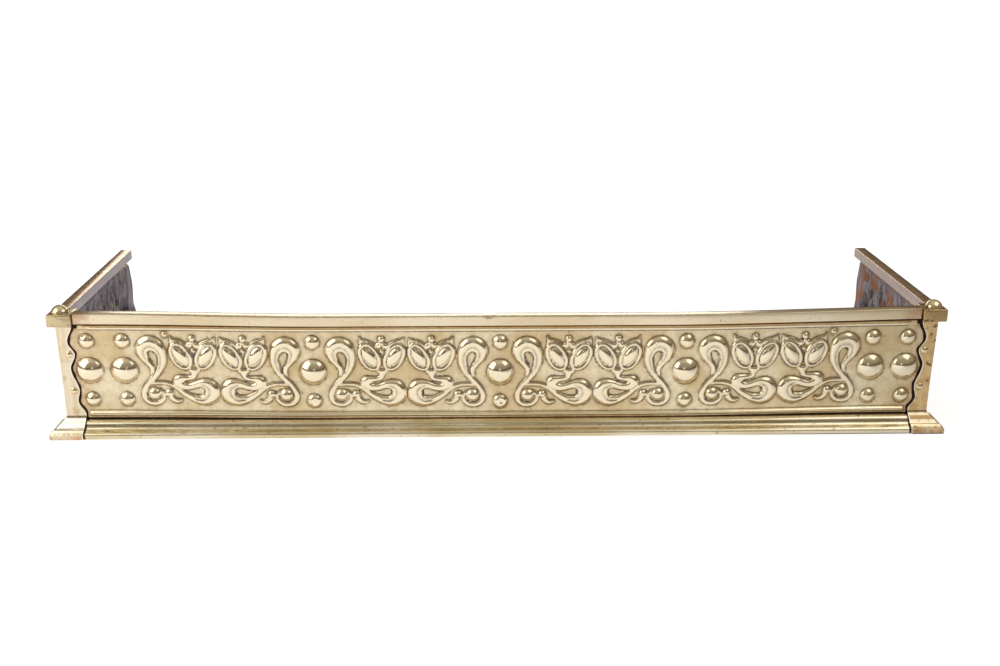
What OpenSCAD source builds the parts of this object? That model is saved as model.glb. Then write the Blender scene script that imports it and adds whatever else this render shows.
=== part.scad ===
// Pressed brass fire fender: a three-sided hearth surround on an iron base frame.
// Millimetres. X runs along the front, +Y goes back towards the chimney breast, +Z is up.
// The origin is on the hearth, under the middle of the fender's outline.
// Cross-sections are drawn as (inset, height): inset is measured inwards from the plinth's outer face.

/* [Overall] */
// Width over the two front corners of the plinth
fender_w = 1350; // [1300:1:1480]
// Depth from the front of the plinth to the back ends
fender_d = 392; // [380:1:470]
// Height of the top rail and the corner caps above the hearth
rail_top_z = 192; // [188:1:210]

/* [Top rail] */
// Width of the rail tube across its run
rail_w = 18; // [15:0.5:21]
// Height of the rail tube
rail_h = 16; // [13:0.5:17]
// Wall of the rail tube
rail_wall = 1.2; // [0.8:0.1:2]
// How far the rail's outer face overhangs the corner strap's face
rail_overhang = 5; // [3:0.5:7]

/* [Corner caps] */
// Side of the square corner cap
cap_size = 36; // [32:0.5:38]
// How far the corner cap reaches below the rail
cap_drop = 3; // [2:0.5:6]
// How far the cap's outer face stands out from the rail's outer face
cap_reveal = 5.6; // [2:0.2:6]
// Chamfer on the cap's four upright edges
cap_chamfer = 1.2; // [0.5:0.1:2.5]
// Length of the spigot on the cap that carries a rail's end
spigot_len = 10; // [6:1:20]
// Clearance all round a spigot inside its rail
spigot_gap = 0.2; // [0.1:0.05:0.4]

/* [Dome nuts and tie rods] */
// Diameter of the domed nut on each cap
dome_dia = 25.4; // [20:0.2:28]
// Height of the domed nut
dome_h = 10.5; // [7:0.5:12]
// Depth of the nut's blind hole
dome_hole = 6; // [3:0.5:6]
// Diameter of the tie rod that pulls the corner together
rod_dia = 5; // [4:0.5:5.5]
// Radial clearance round a rod, rivet, bolt or screw in its hole
hole_gap = 0.1; // [0.05:0.05:0.2]

/* [Corner straps] */
// Thickness of the strap's folded brass
strap_t = 1.5; // [1:0.1:2]
// Inset of the strap's upright face from the plinth's outer face
strap_inset = 22.6; // [21:0.1:26]
// Reach of the strap along the rail side at its narrow waists
strap_waist = 15.2; // [13:0.1:18]
// Reach of the strap at the two wide points that hold its rivets
strap_wide = 23.8; // [21:0.1:25]
// Reach of the strap at the small waist above its foot
strap_notch = 20.3; // [18:0.1:22]
// Reach of the strap where it meets its foot
strap_foot_w = 29.6; // [27:0.1:32]
// Reach of the foot along the hearth
strap_toe = 28.1; // [26:0.1:30]
// Height at which the strap is widest above its foot
strap_foot_z = 33; // [31:0.5:38]
// Height of the small waist above the foot
strap_notch_z = 54; // [50:0.5:58]
// Height of the waist between the rivets
waist_low_z = 105; // [96:0.5:108]
// Height of the waist above the upper rivet
waist_high_z = 147; // [144:0.5:152]
// Height of the lower rivet in each face
rivet_low_z = 70.5; // [66:0.5:76]
// Height of the upper rivet in each face
rivet_high_z = 128; // [122:0.5:132]
// Inset of the rivets from the strap's folded edge
rivet_in = 15.4; // [13:0.1:18]
// Upright lip at the bottom of the foot
foot_lip = 9.5; // [7:0.5:12]
// Radius of the round above the lip
foot_round = 4; // [2.5:0.5:5]
// Radius of the cove above the round
foot_cove = 7; // [4:0.5:9]
// Slope of the foot above the cove, in degrees
foot_slope = 50; // [44:1:56]

/* [Rivets] */
// Diameter of a strap rivet's head
rivet_head = 11; // [8:0.2:12]
// Height of a strap rivet's head
rivet_head_h = 3; // [2:0.2:4]
// Diameter of a rivet's shank
rivet_shank = 4; // [3:0.2:5]
// Diameter of a rivet's closed tail
rivet_tail = 6.6; // [5.5:0.2:7]
// Height of a rivet's closed tail
rivet_tail_h = 1.2; // [0.8:0.2:2]
// Diameter of the head of the two fixings near the top of the front
fixing_head = 8.6; // [7:0.2:10]
// How far those two fixings stand outwards from the middle of the end motifs
fixing_out = 78.25; // [75:0.25:83]
// Drop of those two fixings below the rail
fixing_drop = 18; // [16:0.5:20]

/* [Pressed panels] */
// Thickness of the panel sheet
panel_t = 1; // [0.7:0.1:1.4]
// Width of the flange turned back under the rail
flange_w = 8; // [6:0.5:10]
// Drop of the small bead below the rail
bead_drop = 6.5; // [5:0.5:8]
// Radius of the small bead under the rail
bead_r = 2; // [1.5:0.1:2.4]
// Height of the lower bead's centre above the hearth
low_bead_z = 32; // [31:0.5:34]
// Half of the lower bead's height
low_bead_half = 5; // [4:0.5:5.5]
// How far the lower bead stands out
low_bead_rise = 2.4; // [1.5:0.1:2.8]
// Gap between the strap's edge and the end of the lower bead
low_bead_gap = 3; // [1:0.5:6]
// Gap between the strap's edge and the end of the bead under the rail
bead_gap = 12; // [6:1:20]
// Number of ornament repeats along the front
front_cells = 4; // [3:1:4]
// Inset of the first column of bosses from the plinth's corner
column_in = 65; // [62:0.5:67]
// Spacing of the two boss columns at each end of the front
column_pair = 51; // [44:0.5:52]
// Distance of a side panel's last column from its back end
column_back = 47.5; // [30:0.5:60]
// Spacing of the three bosses in a column
boss_pitch = 46; // [42:0.5:47]
// Diameter of the large bosses
boss_big = 40; // [34:0.5:42]
// Rise of the large bosses
boss_big_h = 11; // [7:0.5:14]
// Diameter of the small bosses
boss_small = 23; // [18:0.5:25]
// Rise of the small bosses
boss_small_h = 7.5; // [5:0.5:9]
// Rise of the pressed scrolls
scroll_h = 3.2; // [2:0.1:4]
// Rise of the seeds inside the pods
seed_h = 5; // [4:0.1:6]

/* [Plinth] */
// Thickness of the plinth's sheet
plinth_t = 1.2; // [0.8:0.1:1.4]
// Upright face at the bottom of the plinth
plinth_lip = 7.5; // [6:0.5:8]
// Radius of the first round, on the lip
round_low = 3; // [2:0.2:3]
// Radius of the middle round
round_mid = 4; // [3:0.2:4.2]
// Radius of the top round
round_top = 5; // [4:0.2:5]
// Depth of the tread between the first two rounds
tread_run = 4.8; // [4:0.1:5]
// Rise of that tread
tread_rise = 1.1; // [0.5:0.1:1.5]
// Upright riser under the top round
riser = 2.3; // [1.5:0.1:2.8]
// How far the top round stands out from the strap's upright face
top_round_out = 0.5; // [0.2:0.1:1]
// Height of the plinth's top edge
plinth_top_z = 24.5; // [24:0.1:25.5]
// Width of the bottom flange that carries the frame, behind the panel
plinth_flange = 12; // [9:0.5:16]

/* [Iron frame] */
// Thickness of the base bars
bar_t = 6; // [5:0.5:8]
// Height of the base bars
bar_h = 25; // [22:0.5:25]
// Thickness of the corner plate
plate_t = 3; // [2:0.5:4]
// Length of each leg of the corner plate
plate_leg = 40; // [36:1:60]
// Width of the corner plate's legs
plate_w = 16; // [14:0.5:20]
// Thickness of the corner angle behind the strap
angle_t = 2; // [1.5:0.1:2.2]
// Width of each leg of the corner angle
angle_leg = 20; // [18:0.5:26]

/* [Screws] */
// Diameter of the frame's bolts and screws
screw_dia = 4; // [3:0.2:4.4]
// Diameter of their heads
screw_head = 7; // [6:0.2:8]
// Height of their heads
screw_head_h = 2.4; // [1.5:0.1:3]
// Depth of the screws in the base bars
screw_len = 11; // [6:0.5:14]
// Width of the bolts' nuts across flats
nut_flats = 7; // [5:0.2:7.5]
// Thickness of the nuts
nut_t = 2.2; // [1.5:0.1:2.4]
// Height of the bolts above the base bar's underside
bolt_up = 13; // [11:0.5:15]
// Number of bolts and of plinth screws along the front
front_bolts = 6; // [3:1:8]
// Number of bolts and of plinth screws along each side
side_bolts = 2; // [1:1:3]

/* [Hidden] */

$fn = 48;
brass = "#C9A765";
rail_brass = "#D8BC8C";
iron = "#3A3632";
// Overlap that makes a union or a cut clean
eps = 0.3;

// Insets, from the outside in
panel_in = strap_inset + strap_t;
back_in = panel_in + panel_t;
rail_in = strap_inset - rail_overhang;
cap_in = rail_in - cap_reveal;
cap_end = cap_in + cap_size;
rod_in = cap_in + cap_size / 2;
bar_end = back_in + bar_t;
angle_end = back_in + angle_t;
rivet_u = strap_inset + rivet_in;

// Heights
rail_z = rail_top_z - rail_h;
cap_h = rail_h + cap_drop;
cap_z = rail_top_z - cap_h;
bead_z = rail_z - bead_drop;
bar_top = plinth_t + bar_h;
plate_top = bar_top + plate_t;
ornament_z = (low_bead_z + low_bead_half + bead_z - bead_r) / 2;
fixing_z = rail_z - fixing_drop;
bolt_z = plinth_t + bolt_up;

// Ends of the beads, clear of the straps
low_bead_start = strap_inset + strap_foot_w + low_bead_gap;
bead_start = strap_inset + strap_wide + bead_gap;

// Runs of bosses and ornament
front_half = fender_w / 2;
pair_x = front_half - column_in - column_pair;
front_pitch = 2 * pair_x / front_cells;
fixing_x = pair_x - front_pitch / 2 + fixing_out;
side_last = fender_d - column_back;
side_mid = (column_in + side_last) / 2;

// Length that is longer than any section it cuts
reach = 80;

// Angles at which the plinth's two lower rounds run into the steps above them
round_low_end = 80;
round_mid_end = 75;
// Share of the bolts' spacing at which the plinth screws sit, clear of the bolts at one half
screw_shift = 0.8;

// Centre lines of the pressed strokes in half a motif, from its middle: x, height and half width.
// The loop turns once at the top and ends in the open ring round the small boss.
loop_head = [[-99, -1, 1.5], [-103, 13, 3.5], [-111, 29, 8.5], [-98, 45, 11]];
loop_stem = [
  [-111, 29, 8.5], [-98, 45, 11], [-82.5, 25, 8], [-89, 5, 5.4], [-100.5, -13, 3.2], [-113, -30, 2.8]
];
loop_ring = [
  [-100.5, -13, 3.2], [-113, -30, 2.8], [-113, -45, 2.7], [-101, -52.5, 2.6], [-87, -47, 3], [-83.5, -38, 2.2]
];
// The scroll hangs from the pods, curls back on itself and tapers out to the loop.
scroll_hook = [[-37, -2, 3.8], [-40, -9, 3.5], [-52.5, -11, 4.1], [-60.5, -17, 6], [-52.5, -25, 4.6]];
scroll_arm = [[-52.5, -25, 4.6], [-38, -23.5, 3.9], [-23, -20, 6], [-13.5, -30, 9.5], [-17, -43, 8]];
scroll_tail = [
  [-17, -43, 8], [-30, -48.5, 5.4], [-44.5, -41.5, 4.1], [-62, -26.5, 3.2], [-80, -18, 2.4], [-105, -20, 1.5]
];
bud_hook = [[-90, -27, 1.6], [-77, -35, 3.6], [-72.5, -42.5, 3.2], [-65, -47.5, 2.2], [-58.8, -44, 1.1]];
pod_tips = [
  [[-64, 43, 4], [-67.5, 50, 2], [-68.6, 55.5, 0.8]],
  [[-24, 43, 2.4], [-14, 49, 1.8], [-5, 52.5, 0.8]]
];
// Pods, each with its middle, its lean in degrees and the seed's middle
pods = [[-55.2, 24.6, 27], [-18.8, 24.4, -29]];
pod_half_l = 23.3;
pod_half_w = 15;
seed_half_l = 17.5;
seed_half_w = 8.2;
// Ratio of a seed's lean to its pod's
seed_lean = 1.15;
// Growth that joins strokes whose edges only touch
stroke_join = 0.1;
// Beads between the pods and the bud beside the ring: x, height, radius and rise
beads = [
  [-37, 53.7, 4.3, 3.4], [-40.8, 44.4, 4.1, 3.4], [-31, 43.2, 3.8, 3.2], [-36.4, 33.4, 2.6, 2.2],
  [-75, -31, 5.2, 4.2]
];
ring_boss = [-96, -33.7, 9.4, 6.5];
calyx = [-36, -1.5, 8, 4.5];

// ---- Curves ----

function arc(c, r, from, to, n = 6) =
  [for (i = [0:n]) c + r * [cos(from + (to - from) * i / n), sin(from + (to - from) * i / n)]];

function ellipse(c, a, b, lean, n = 20) = [
  for (i = [0:n - 1])
    let (p = [b * cos(360 * i / n), a * sin(360 * i / n)])
      [c[0] + p[0] * cos(lean) - p[1] * sin(lean), c[1] + p[0] * sin(lean) + p[1] * cos(lean)]
];

function spline_at(a, b, c, d, t) =
  0.5 * (2 * b + (c - a) * t + (2 * a - 5 * b + 4 * c - d) * t * t + (3 * b - a - 3 * c + d) * t * t * t);

// Smooth curve through knots, with n steps between neighbours
function spline(k, n = 3) = [
  for (i = [0:len(k) - 2], s = [0:(i == len(k) - 2 ? n : n - 1)])
    spline_at(k[max(i - 1, 0)], k[i], k[i + 1], k[min(i + 2, len(k) - 1)], s / n)
];

function side_of(p, i) =
  let (d = p[min(i + 1, len(p) - 1)] - p[max(i - 1, 0)], l = norm([d[0], d[1]]))
    [-d[1] / l, d[0] / l];

// Outline of a stroke whose points carry their half widths
function stroke(k) =
  let (p = spline(k))
    concat(
      [for (i = [0:len(p) - 1]) [p[i][0], p[i][1]] + side_of(p, i) * p[i][2]],
      [for (i = [len(p) - 1:-1:0]) [p[i][0], p[i][1]] - side_of(p, i) * p[i][2]]
    );

// Curve that swings level at every knot
function swing(k, n = 6) = [
  for (i = [0:len(k) - 2], s = [0:(i == len(k) - 2 ? n : n - 1)])
    let (t = s / n, w = (1 - cos(180 * t)) / 2)
      [k[i][0] + (k[i + 1][0] - k[i][0]) * w, k[i][1] + (k[i + 1][1] - k[i][1]) * t]
];

function cap_radius(dia, h) = (dia * dia / 4 + h * h) / (2 * h);

// Evenly spaced places for n fasteners between two ends, shifted by a share of their spacing
function places(from, to, n, shift = 0.5) = [for (i = [0:n - 1]) from + (to - from) * (i + shift) / n];

// ---- Placing ----

// A section drawn as (inset, height), extruded along a run
module run(from, to) {
  translate([from, 0, 0]) rotate([90, 0, 90]) linear_extrude(to - from) children();
}

module at_front() {
  translate([0, -fender_d / 2, 0]) children();
}

module at_right() {
  translate([front_half, -fender_d / 2, 0]) rotate([0, 0, 90]) children();
}

module at_left() {
  mirror([1, 0, 0]) at_right() children();
}

module at_corner_left() {
  translate([-front_half, -fender_d / 2, 0]) children();
}

module at_corner_right() {
  mirror([1, 0, 0]) at_corner_left() children();
}

// A piece that is alike along the front and along the side of a corner
module both_ways() {
  children();
  mirror([1, -1, 0]) children();
}

// Upright plan shape over the whole height
module plan(points) {
  translate([0, 0, -reach]) linear_extrude(rail_top_z + 2 * reach) polygon(points);
}

// ---- Sections ----

function foot_line() =
  let (
    round_c = [foot_round, foot_lip],
    cove_c = [foot_round, foot_lip + foot_round + foot_cove],
    cove_end = cove_c + foot_cove * [cos(foot_slope - 90), sin(foot_slope - 90)],
    crease_z = cove_end[1] + (strap_inset - cove_end[0]) * tan(foot_slope)
  )
    concat(
      arc(round_c, foot_round, 180, 90), arc(cove_c, foot_cove, -90, foot_slope - 90),
      [[strap_inset, crease_z]]
    );

// The strap's outer line, filled to well behind it and carried past both ends by the given amount
module strap_solid(past) {
  polygon(concat(
    [[0, -past]], foot_line(),
    [[strap_inset, cap_z + past], [reach + past, cap_z + past], [reach + past, -past]]
  ));
}

module strap_section() {
  difference() {
    strap_solid(0);
    offset(delta = -strap_t) strap_solid(reach);
  }
}

// Free edge of the strap from its foot up to the cap: reach along the run and height
function strap_edge() = swing([
  [strap_toe, 0], [strap_foot_w, strap_foot_z], [strap_notch, strap_notch_z], [strap_wide, rivet_low_z],
  [strap_waist, waist_low_z], [strap_wide, rivet_high_z], [strap_waist, waist_high_z], [strap_wide, cap_z]
]);

function plinth_line() =
  let (
    low = [strap_t + round_low, plinth_lip],
    mid = low + [tread_run + round_mid, round_low + tread_rise],
    top = [strap_inset - top_round_out, plinth_top_z - round_top]
  )
    concat(
      [[strap_t, 0]], arc(low, round_low, 180, round_low_end), arc(mid, round_mid, 180, round_mid_end),
      [[top[0] - round_top, top[1] - riser]], arc(top, round_top, 180, 90)
    );

module plinth_solid() {
  polygon(concat(
    plinth_line(),
    [[panel_in, plinth_top_z], [panel_in, plinth_t]],
    [[back_in + plinth_flange, plinth_t], [back_in + plinth_flange, 0]]
  ));
}

// Formed sheet, open at the back, with a lip against the panel and a flange under the frame
module plinth_section() {
  difference() {
    plinth_solid();
    offset(delta = -plinth_t) plinth_solid();
    translate([panel_in - plinth_t - eps, plinth_t])
      square([plinth_t + 2 * eps, plinth_top_z - 2 * plinth_t]);
  }
}

module rail_section() {
  translate([rail_in, rail_z]) difference() {
    square([rail_w, rail_h]);
    translate([rail_wall, rail_wall]) square([rail_w - 2 * rail_wall, rail_h - 2 * rail_wall]);
  }
}

// ---- Pressed panels ----

// Ball whose front cap of the given diameter and rise stands out of the panel's face
module boss(x, z, dia, h, hollow) {
  r = cap_radius(dia, h);
  translate([x, panel_in - h + r, z]) sphere(hollow ? r - panel_t : r);
}

module boss_column(x, hollow) {
  boss(x, ornament_z, boss_big, boss_big_h, hollow);
  for (s = [-1, 1]) boss(x, ornament_z + s * boss_pitch, boss_small, boss_small_h, hollow);
}

// A flat shape raised from the panel's face
module raised(h) {
  translate([0, panel_in + eps, ornament_z]) rotate([90, 0, 0]) linear_extrude(h + eps) children();
}

module half_motif() {
  raised(scroll_h) offset(delta = stroke_join) {
    for (k = [loop_head, loop_stem, loop_ring, scroll_hook, scroll_arm, scroll_tail, bud_hook])
      polygon(stroke(k));
    for (k = pod_tips) polygon(stroke(k));
    for (p = pods) polygon(ellipse(p, pod_half_l, pod_half_w, p[2]));
    polygon(ellipse(calyx, calyx[3], calyx[2], 0, 12));
  }
  raised(seed_h) for (p = pods) polygon(ellipse(p, seed_half_l, seed_half_w, p[2] * seed_lean, 16));
}

module motif_balls(hollow) {
  for (b = hollow ? [ring_boss] : concat([ring_boss], beads))
    boss(b[0], ornament_z + b[1], 2 * b[2], b[3], hollow);
}

module motif() {
  for (m = [0, 1]) mirror([m, 0, 0]) {
    half_motif();
    motif_balls(false);
  }
}

module motif_hollows() {
  for (m = [0, 1]) mirror([m, 0, 0]) motif_balls(true);
}

// The panel's plain sheet: its face, the neck and flange under the rail, and the two beads.
// from and to bound the face, neck_from and neck_to the neck between the caps. bead_from and bead_to
// are the ends of the lower bead and of the bead under the rail.
module sheet(from, to, neck_from, neck_to, bead_from, bead_to) {
  run(from, to) translate([panel_in, plinth_t]) square([panel_t, cap_z - plinth_t]);
  run(neck_from, neck_to) {
    translate([panel_in, cap_z - eps]) square([panel_t, rail_z - cap_z + eps]);
    translate([panel_in, rail_z - panel_t]) square([flange_w, panel_t]);
  }
  low_r = cap_radius(2 * low_bead_half, low_bead_rise);
  run(bead_from[0], bead_to[0]) translate([panel_in - low_bead_rise + low_r, low_bead_z])
    circle(low_r);
  run(bead_from[1], bead_to[1]) translate([panel_in, bead_z]) circle(bead_r);
}

// Everything behind the sheet's back, below its flange
module behind_sheet(from, to) {
  translate([from - reach, back_in, -reach])
    cube([to - from + 2 * reach, 3 * reach, rail_z - panel_t + reach]);
}

module fastener_holes(xs, z) {
  for (x = xs) translate([x, 0, z]) rotate([-90, 0, 0]) cylinder(h = reach, r = screw_dia / 2 + hole_gap);
}

module rivet_holes(us) {
  for (u = us, z = [rivet_low_z, rivet_high_z])
    translate([u, 0, z]) rotate([-90, 0, 0]) cylinder(h = reach, r = rivet_shank / 2 + hole_gap);
}

front_bolt_x = places(-pair_x, pair_x, front_bolts);
side_bolt_x = places(column_in, fender_d, side_bolts);
front_screw_x = places(-pair_x, pair_x, front_bolts, screw_shift);
side_screw_x = places(column_in, fender_d, side_bolts, screw_shift);

module front_panel() {
  face_end = front_half - panel_in;
  neck_end = front_half - cap_end;
  columns = concat(
    [for (i = [0:front_cells]) -pair_x + i * front_pitch],
    [-front_half + column_in, front_half - column_in]
  );
  color(brass) at_front() difference() {
    union() {
      sheet(
        -face_end, face_end, -neck_end, neck_end,
        [low_bead_start - front_half, bead_start - front_half],
        [front_half - low_bead_start, front_half - bead_start]
      );
      for (x = columns) boss_column(x, false);
      for (i = [0:front_cells - 1]) translate([-pair_x + (i + 0.5) * front_pitch, 0, 0]) motif();
    }
    behind_sheet(-face_end, face_end);
    for (x = columns) boss_column(x, true);
    for (i = [0:front_cells - 1]) translate([-pair_x + (i + 0.5) * front_pitch, 0, 0]) motif_hollows();
    rivet_holes([rivet_u - front_half, front_half - rivet_u]);
    fastener_holes(front_bolt_x, bolt_z);
    for (x = [-fixing_x, fixing_x])
      translate([x, 0, fixing_z]) rotate([-90, 0, 0]) cylinder(h = reach, r = rivet_shank / 2 + hole_gap);
  }
}

module side_panel() {
  color(brass) difference() {
    union() {
      sheet(back_in, fender_d, cap_end, fender_d, [low_bead_start, bead_start], [fender_d, fender_d]);
      for (x = [column_in, side_last]) boss_column(x, false);
      translate([side_mid, 0, 0]) motif();
    }
    behind_sheet(back_in, fender_d);
    for (x = [column_in, side_last]) boss_column(x, true);
    translate([side_mid, 0, 0]) motif_hollows();
    rivet_holes([rivet_u]);
    fastener_holes(side_bolt_x, bolt_z);
  }
}

module side_panel_left() { at_left() side_panel(); }
module side_panel_right() { at_right() side_panel(); }

// ---- Top rail ----

module front_rail() {
  color(rail_brass) at_front() run(cap_end - front_half, front_half - cap_end) rail_section();
}

module side_rail() { color(rail_brass) run(cap_end, fender_d) rail_section(); }
module side_rail_left() { at_left() side_rail(); }
module side_rail_right() { at_right() side_rail(); }

// ---- Plinth, mitred at the front corners ----

module screw_holes_up(xs) {
  for (x = xs) translate([x, back_in + bar_t / 2, 0]) {
    translate([0, 0, -eps]) cylinder(h = screw_len + 2 * eps, r = screw_dia / 2 + hole_gap);
    // The countersink starts one clearance lower and wider, so that it cuts clean
    translate([0, 0, -hole_gap])
      cylinder(h = plinth_t + hole_gap, r1 = screw_head / 2 + 2 * hole_gap, r2 = screw_dia / 2 + hole_gap);
  }
}

module plinth_front() {
  color(brass) at_front() difference() {
    intersection() {
      run(-front_half, front_half) plinth_section();
      plan([[-front_half, 0], [front_half, 0], [front_half - reach, reach], [reach - front_half, reach]]);
    }
    screw_holes_up(front_screw_x);
  }
}

module side_plinth() {
  color(brass) difference() {
    intersection() {
      run(0, fender_d) plinth_section();
      plan([[0, 0], [reach, reach], [fender_d + reach, reach], [fender_d + reach, 0]]);
    }
    screw_holes_up(side_screw_x);
  }
}

module plinth_left() { at_left() side_plinth(); }
module plinth_right() { at_right() side_plinth(); }

// ---- Corner straps ----

module strap_arm() {
  intersection() {
    run(0, reach) strap_section();
    plan([[0, 0], [reach, reach], [reach, 0]]);
    translate([0, reach, 0]) rotate([90, 0, 0]) linear_extrude(reach)
      polygon(concat([[0, cap_z], [0, 0]], [for (p = strap_edge()) [strap_inset + p[0], p[1]]]));
  }
}

module corner_strap() {
  color(brass) difference() {
    both_ways() strap_arm();
    both_ways() rivet_holes([rivet_u]);
  }
}

module corner_strap_left() { at_corner_left() corner_strap(); }
module corner_strap_right() { at_corner_right() corner_strap(); }

// ---- Rivets ----

// Round-headed rivet along +Y: its head stands out of a face at inset "face", its tail ends past "grip"
module rivet(face, grip, head, head_h) {
  r = cap_radius(head, head_h);
  intersection() {
    translate([0, face - head_h + r, 0]) sphere(r);
    translate([-r, face - 2 * r, -r]) cube(2 * r);
  }
  translate([0, face - eps, 0]) rotate([-90, 0, 0]) cylinder(h = grip - face + 2 * eps, d = rivet_shank);
  translate([0, grip, 0]) rotate([-90, 0, 0]) cylinder(h = rivet_tail_h, d = rivet_tail);
}

module strap_rivets() {
  color(brass) both_ways() for (z = [rivet_low_z, rivet_high_z])
    translate([rivet_u, 0, z]) rivet(strap_inset, angle_end, rivet_head, rivet_head_h);
}

module strap_rivets_left() { at_corner_left() strap_rivets(); }
module strap_rivets_right() { at_corner_right() strap_rivets(); }

module panel_fixings() {
  color(brass) at_front() for (x = [-fixing_x, fixing_x])
    translate([x, 0, fixing_z]) rivet(panel_in, back_in, fixing_head, rivet_head_h);
}

// ---- Corner caps, dome nuts and tie rods ----

module spigot() {
  inset = rail_wall + spigot_gap;
  translate([cap_end - eps, rail_in + inset, rail_z + inset])
    cube([spigot_len + eps, rail_w - 2 * inset, rail_h - 2 * inset]);
}

// Square with its corners cut off
module chamfered(size, cut) {
  far = size - cut;
  polygon([[cut, 0], [far, 0], [size, cut], [size, far], [far, size], [cut, size], [0, far], [0, cut]]);
}

module corner_cap() {
  color(brass) difference() {
    union() {
      translate([cap_in, cap_in, cap_z]) linear_extrude(cap_h) chamfered(cap_size, cap_chamfer);
      both_ways() spigot();
    }
    translate([rod_in, rod_in, cap_z - eps]) cylinder(h = cap_h + 2 * eps, r = rod_dia / 2 + hole_gap);
  }
}

module corner_cap_left() { at_corner_left() corner_cap(); }
module corner_cap_right() { at_corner_right() corner_cap(); }

module dome_nut() {
  r = cap_radius(dome_dia, dome_h);
  color(brass) translate([rod_in, rod_in, rail_top_z]) difference() {
    intersection() {
      translate([0, 0, dome_h - r]) sphere(r);
      translate([-r, -r, 0]) cube(2 * r);
    }
    translate([0, 0, -eps]) cylinder(h = dome_hole + eps, r = rod_dia / 2 + hole_gap);
  }
}

module dome_nut_left() { at_corner_left() dome_nut(); }
module dome_nut_right() { at_corner_right() dome_nut(); }

module tie_rod() {
  color(iron) translate([rod_in, rod_in, bar_top])
    cylinder(h = rail_top_z + dome_hole - hole_gap - bar_top, d = rod_dia);
}

module tie_rod_left() { at_corner_left() tie_rod(); }
module tie_rod_right() { at_corner_right() tie_rod(); }

// ---- Iron frame ----

module bar_section() {
  translate([back_in, plinth_t]) square([bar_t, bar_h]);
}

// Hole down into a base bar's top for a corner plate's screw, at the given place along the run
module plate_screw_hole(x) {
  translate([x, back_in + bar_t / 2, bar_top - screw_len])
    cylinder(h = screw_len + plate_t + 2 * eps, r = screw_dia / 2 + hole_gap);
}

plate_screw_u = back_in + plate_leg - screw_head;

module base_bar_front() {
  end = front_half - back_in;
  color(iron) at_front() difference() {
    run(-end, end) bar_section();
    fastener_holes(front_bolt_x, bolt_z);
    screw_holes_up(front_screw_x);
    for (x = [plate_screw_u - front_half, front_half - plate_screw_u]) plate_screw_hole(x);
  }
}

module side_bar() {
  color(iron) difference() {
    run(bar_end, fender_d) bar_section();
    fastener_holes(side_bolt_x, bolt_z);
    screw_holes_up(side_screw_x);
    plate_screw_hole(plate_screw_u);
  }
}

module base_bar_left() { at_left() side_bar(); }
module base_bar_right() { at_right() side_bar(); }

// L shape in plan, with its outer corner in the panels' corner
module ell(leg, width) {
  translate([back_in, back_in])
    polygon([[0, 0], [leg, 0], [leg, width], [width, width], [width, leg], [0, leg]]);
}

module corner_plate() {
  color(iron) difference() {
    translate([0, 0, bar_top]) linear_extrude(plate_t) ell(plate_leg, plate_w);
    both_ways() plate_screw_hole(plate_screw_u);
    translate([rod_in, rod_in, bar_top - eps]) cylinder(h = plate_t + 2 * eps, r = rod_dia / 2 + hole_gap);
  }
}

module corner_plate_left() { at_corner_left() corner_plate(); }
module corner_plate_right() { at_corner_right() corner_plate(); }

module corner_angle() {
  color(iron) difference() {
    translate([0, 0, plate_top]) linear_extrude(cap_z - plate_top) ell(angle_leg, angle_t);
    both_ways() rivet_holes([rivet_u]);
  }
}

module corner_angle_left() { at_corner_left() corner_angle(); }
module corner_angle_right() { at_corner_right() corner_angle(); }

// ---- Screws, bolts and nuts ----

module plate_screw() {
  translate([plate_screw_u, back_in + bar_t / 2, 0]) {
    translate([0, 0, plate_top]) cylinder(h = screw_head_h, d = screw_head);
    translate([0, 0, bar_top - screw_len + eps]) cylinder(h = screw_len + plate_t, d = screw_dia);
  }
}

module plate_screws() {
  color(iron) {
    at_corner_left() both_ways() plate_screw();
    at_corner_right() both_ways() plate_screw();
  }
}

// Bolt from inside the frame, through the base bar and the panel
module base_bolt() {
  translate([0, bar_end, bolt_z]) rotate([-90, 0, 0]) cylinder(h = screw_head_h, d = screw_head);
  translate([0, panel_in - nut_t, bolt_z]) rotate([-90, 0, 0])
    cylinder(h = bar_end - panel_in + nut_t + eps, d = screw_dia);
}

module base_nut() {
  translate([0, panel_in - nut_t, bolt_z]) rotate([-90, 0, 0]) difference() {
    cylinder(h = nut_t, d = nut_flats / cos(30), $fn = 6);
    translate([0, 0, -eps]) cylinder(h = nut_t + 2 * eps, r = screw_dia / 2 + hole_gap);
  }
}

// The same fastener at every bolt along the front and both sides
module at_bolts() {
  at_front() for (x = front_bolt_x) translate([x, 0, 0]) children();
  at_left() for (x = side_bolt_x) translate([x, 0, 0]) children();
  at_right() for (x = side_bolt_x) translate([x, 0, 0]) children();
}

module base_bolts() { color(iron) at_bolts() base_bolt(); }
module base_nuts() { color(iron) at_bolts() base_nut(); }

// Countersunk screw up through the plinth's bottom flange into the base bar
module plinth_screw() {
  translate([0, back_in + bar_t / 2, 0]) {
    cylinder(h = plinth_t, d1 = screw_head, d2 = screw_dia);
    cylinder(h = screw_len, d = screw_dia);
  }
}

module plinth_screws() {
  color(iron) {
    at_front() for (x = front_screw_x) translate([x, 0, 0]) plinth_screw();
    at_left() for (x = side_screw_x) translate([x, 0, 0]) plinth_screw();
    at_right() for (x = side_screw_x) translate([x, 0, 0]) plinth_screw();
  }
}

front_panel();
side_panel_left();
side_panel_right();
front_rail();
side_rail_left();
side_rail_right();
plinth_front();
plinth_left();
plinth_right();
corner_strap_left();
corner_strap_right();
corner_cap_left();
corner_cap_right();
dome_nut_left();
dome_nut_right();
tie_rod_left();
tie_rod_right();
strap_rivets_left();
strap_rivets_right();
panel_fixings();
base_bar_front();
base_bar_left();
base_bar_right();
corner_plate_left();
corner_plate_right();
corner_angle_left();
corner_angle_right();
plate_screws();
base_bolts();
base_nuts();
plinth_screws();
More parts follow.
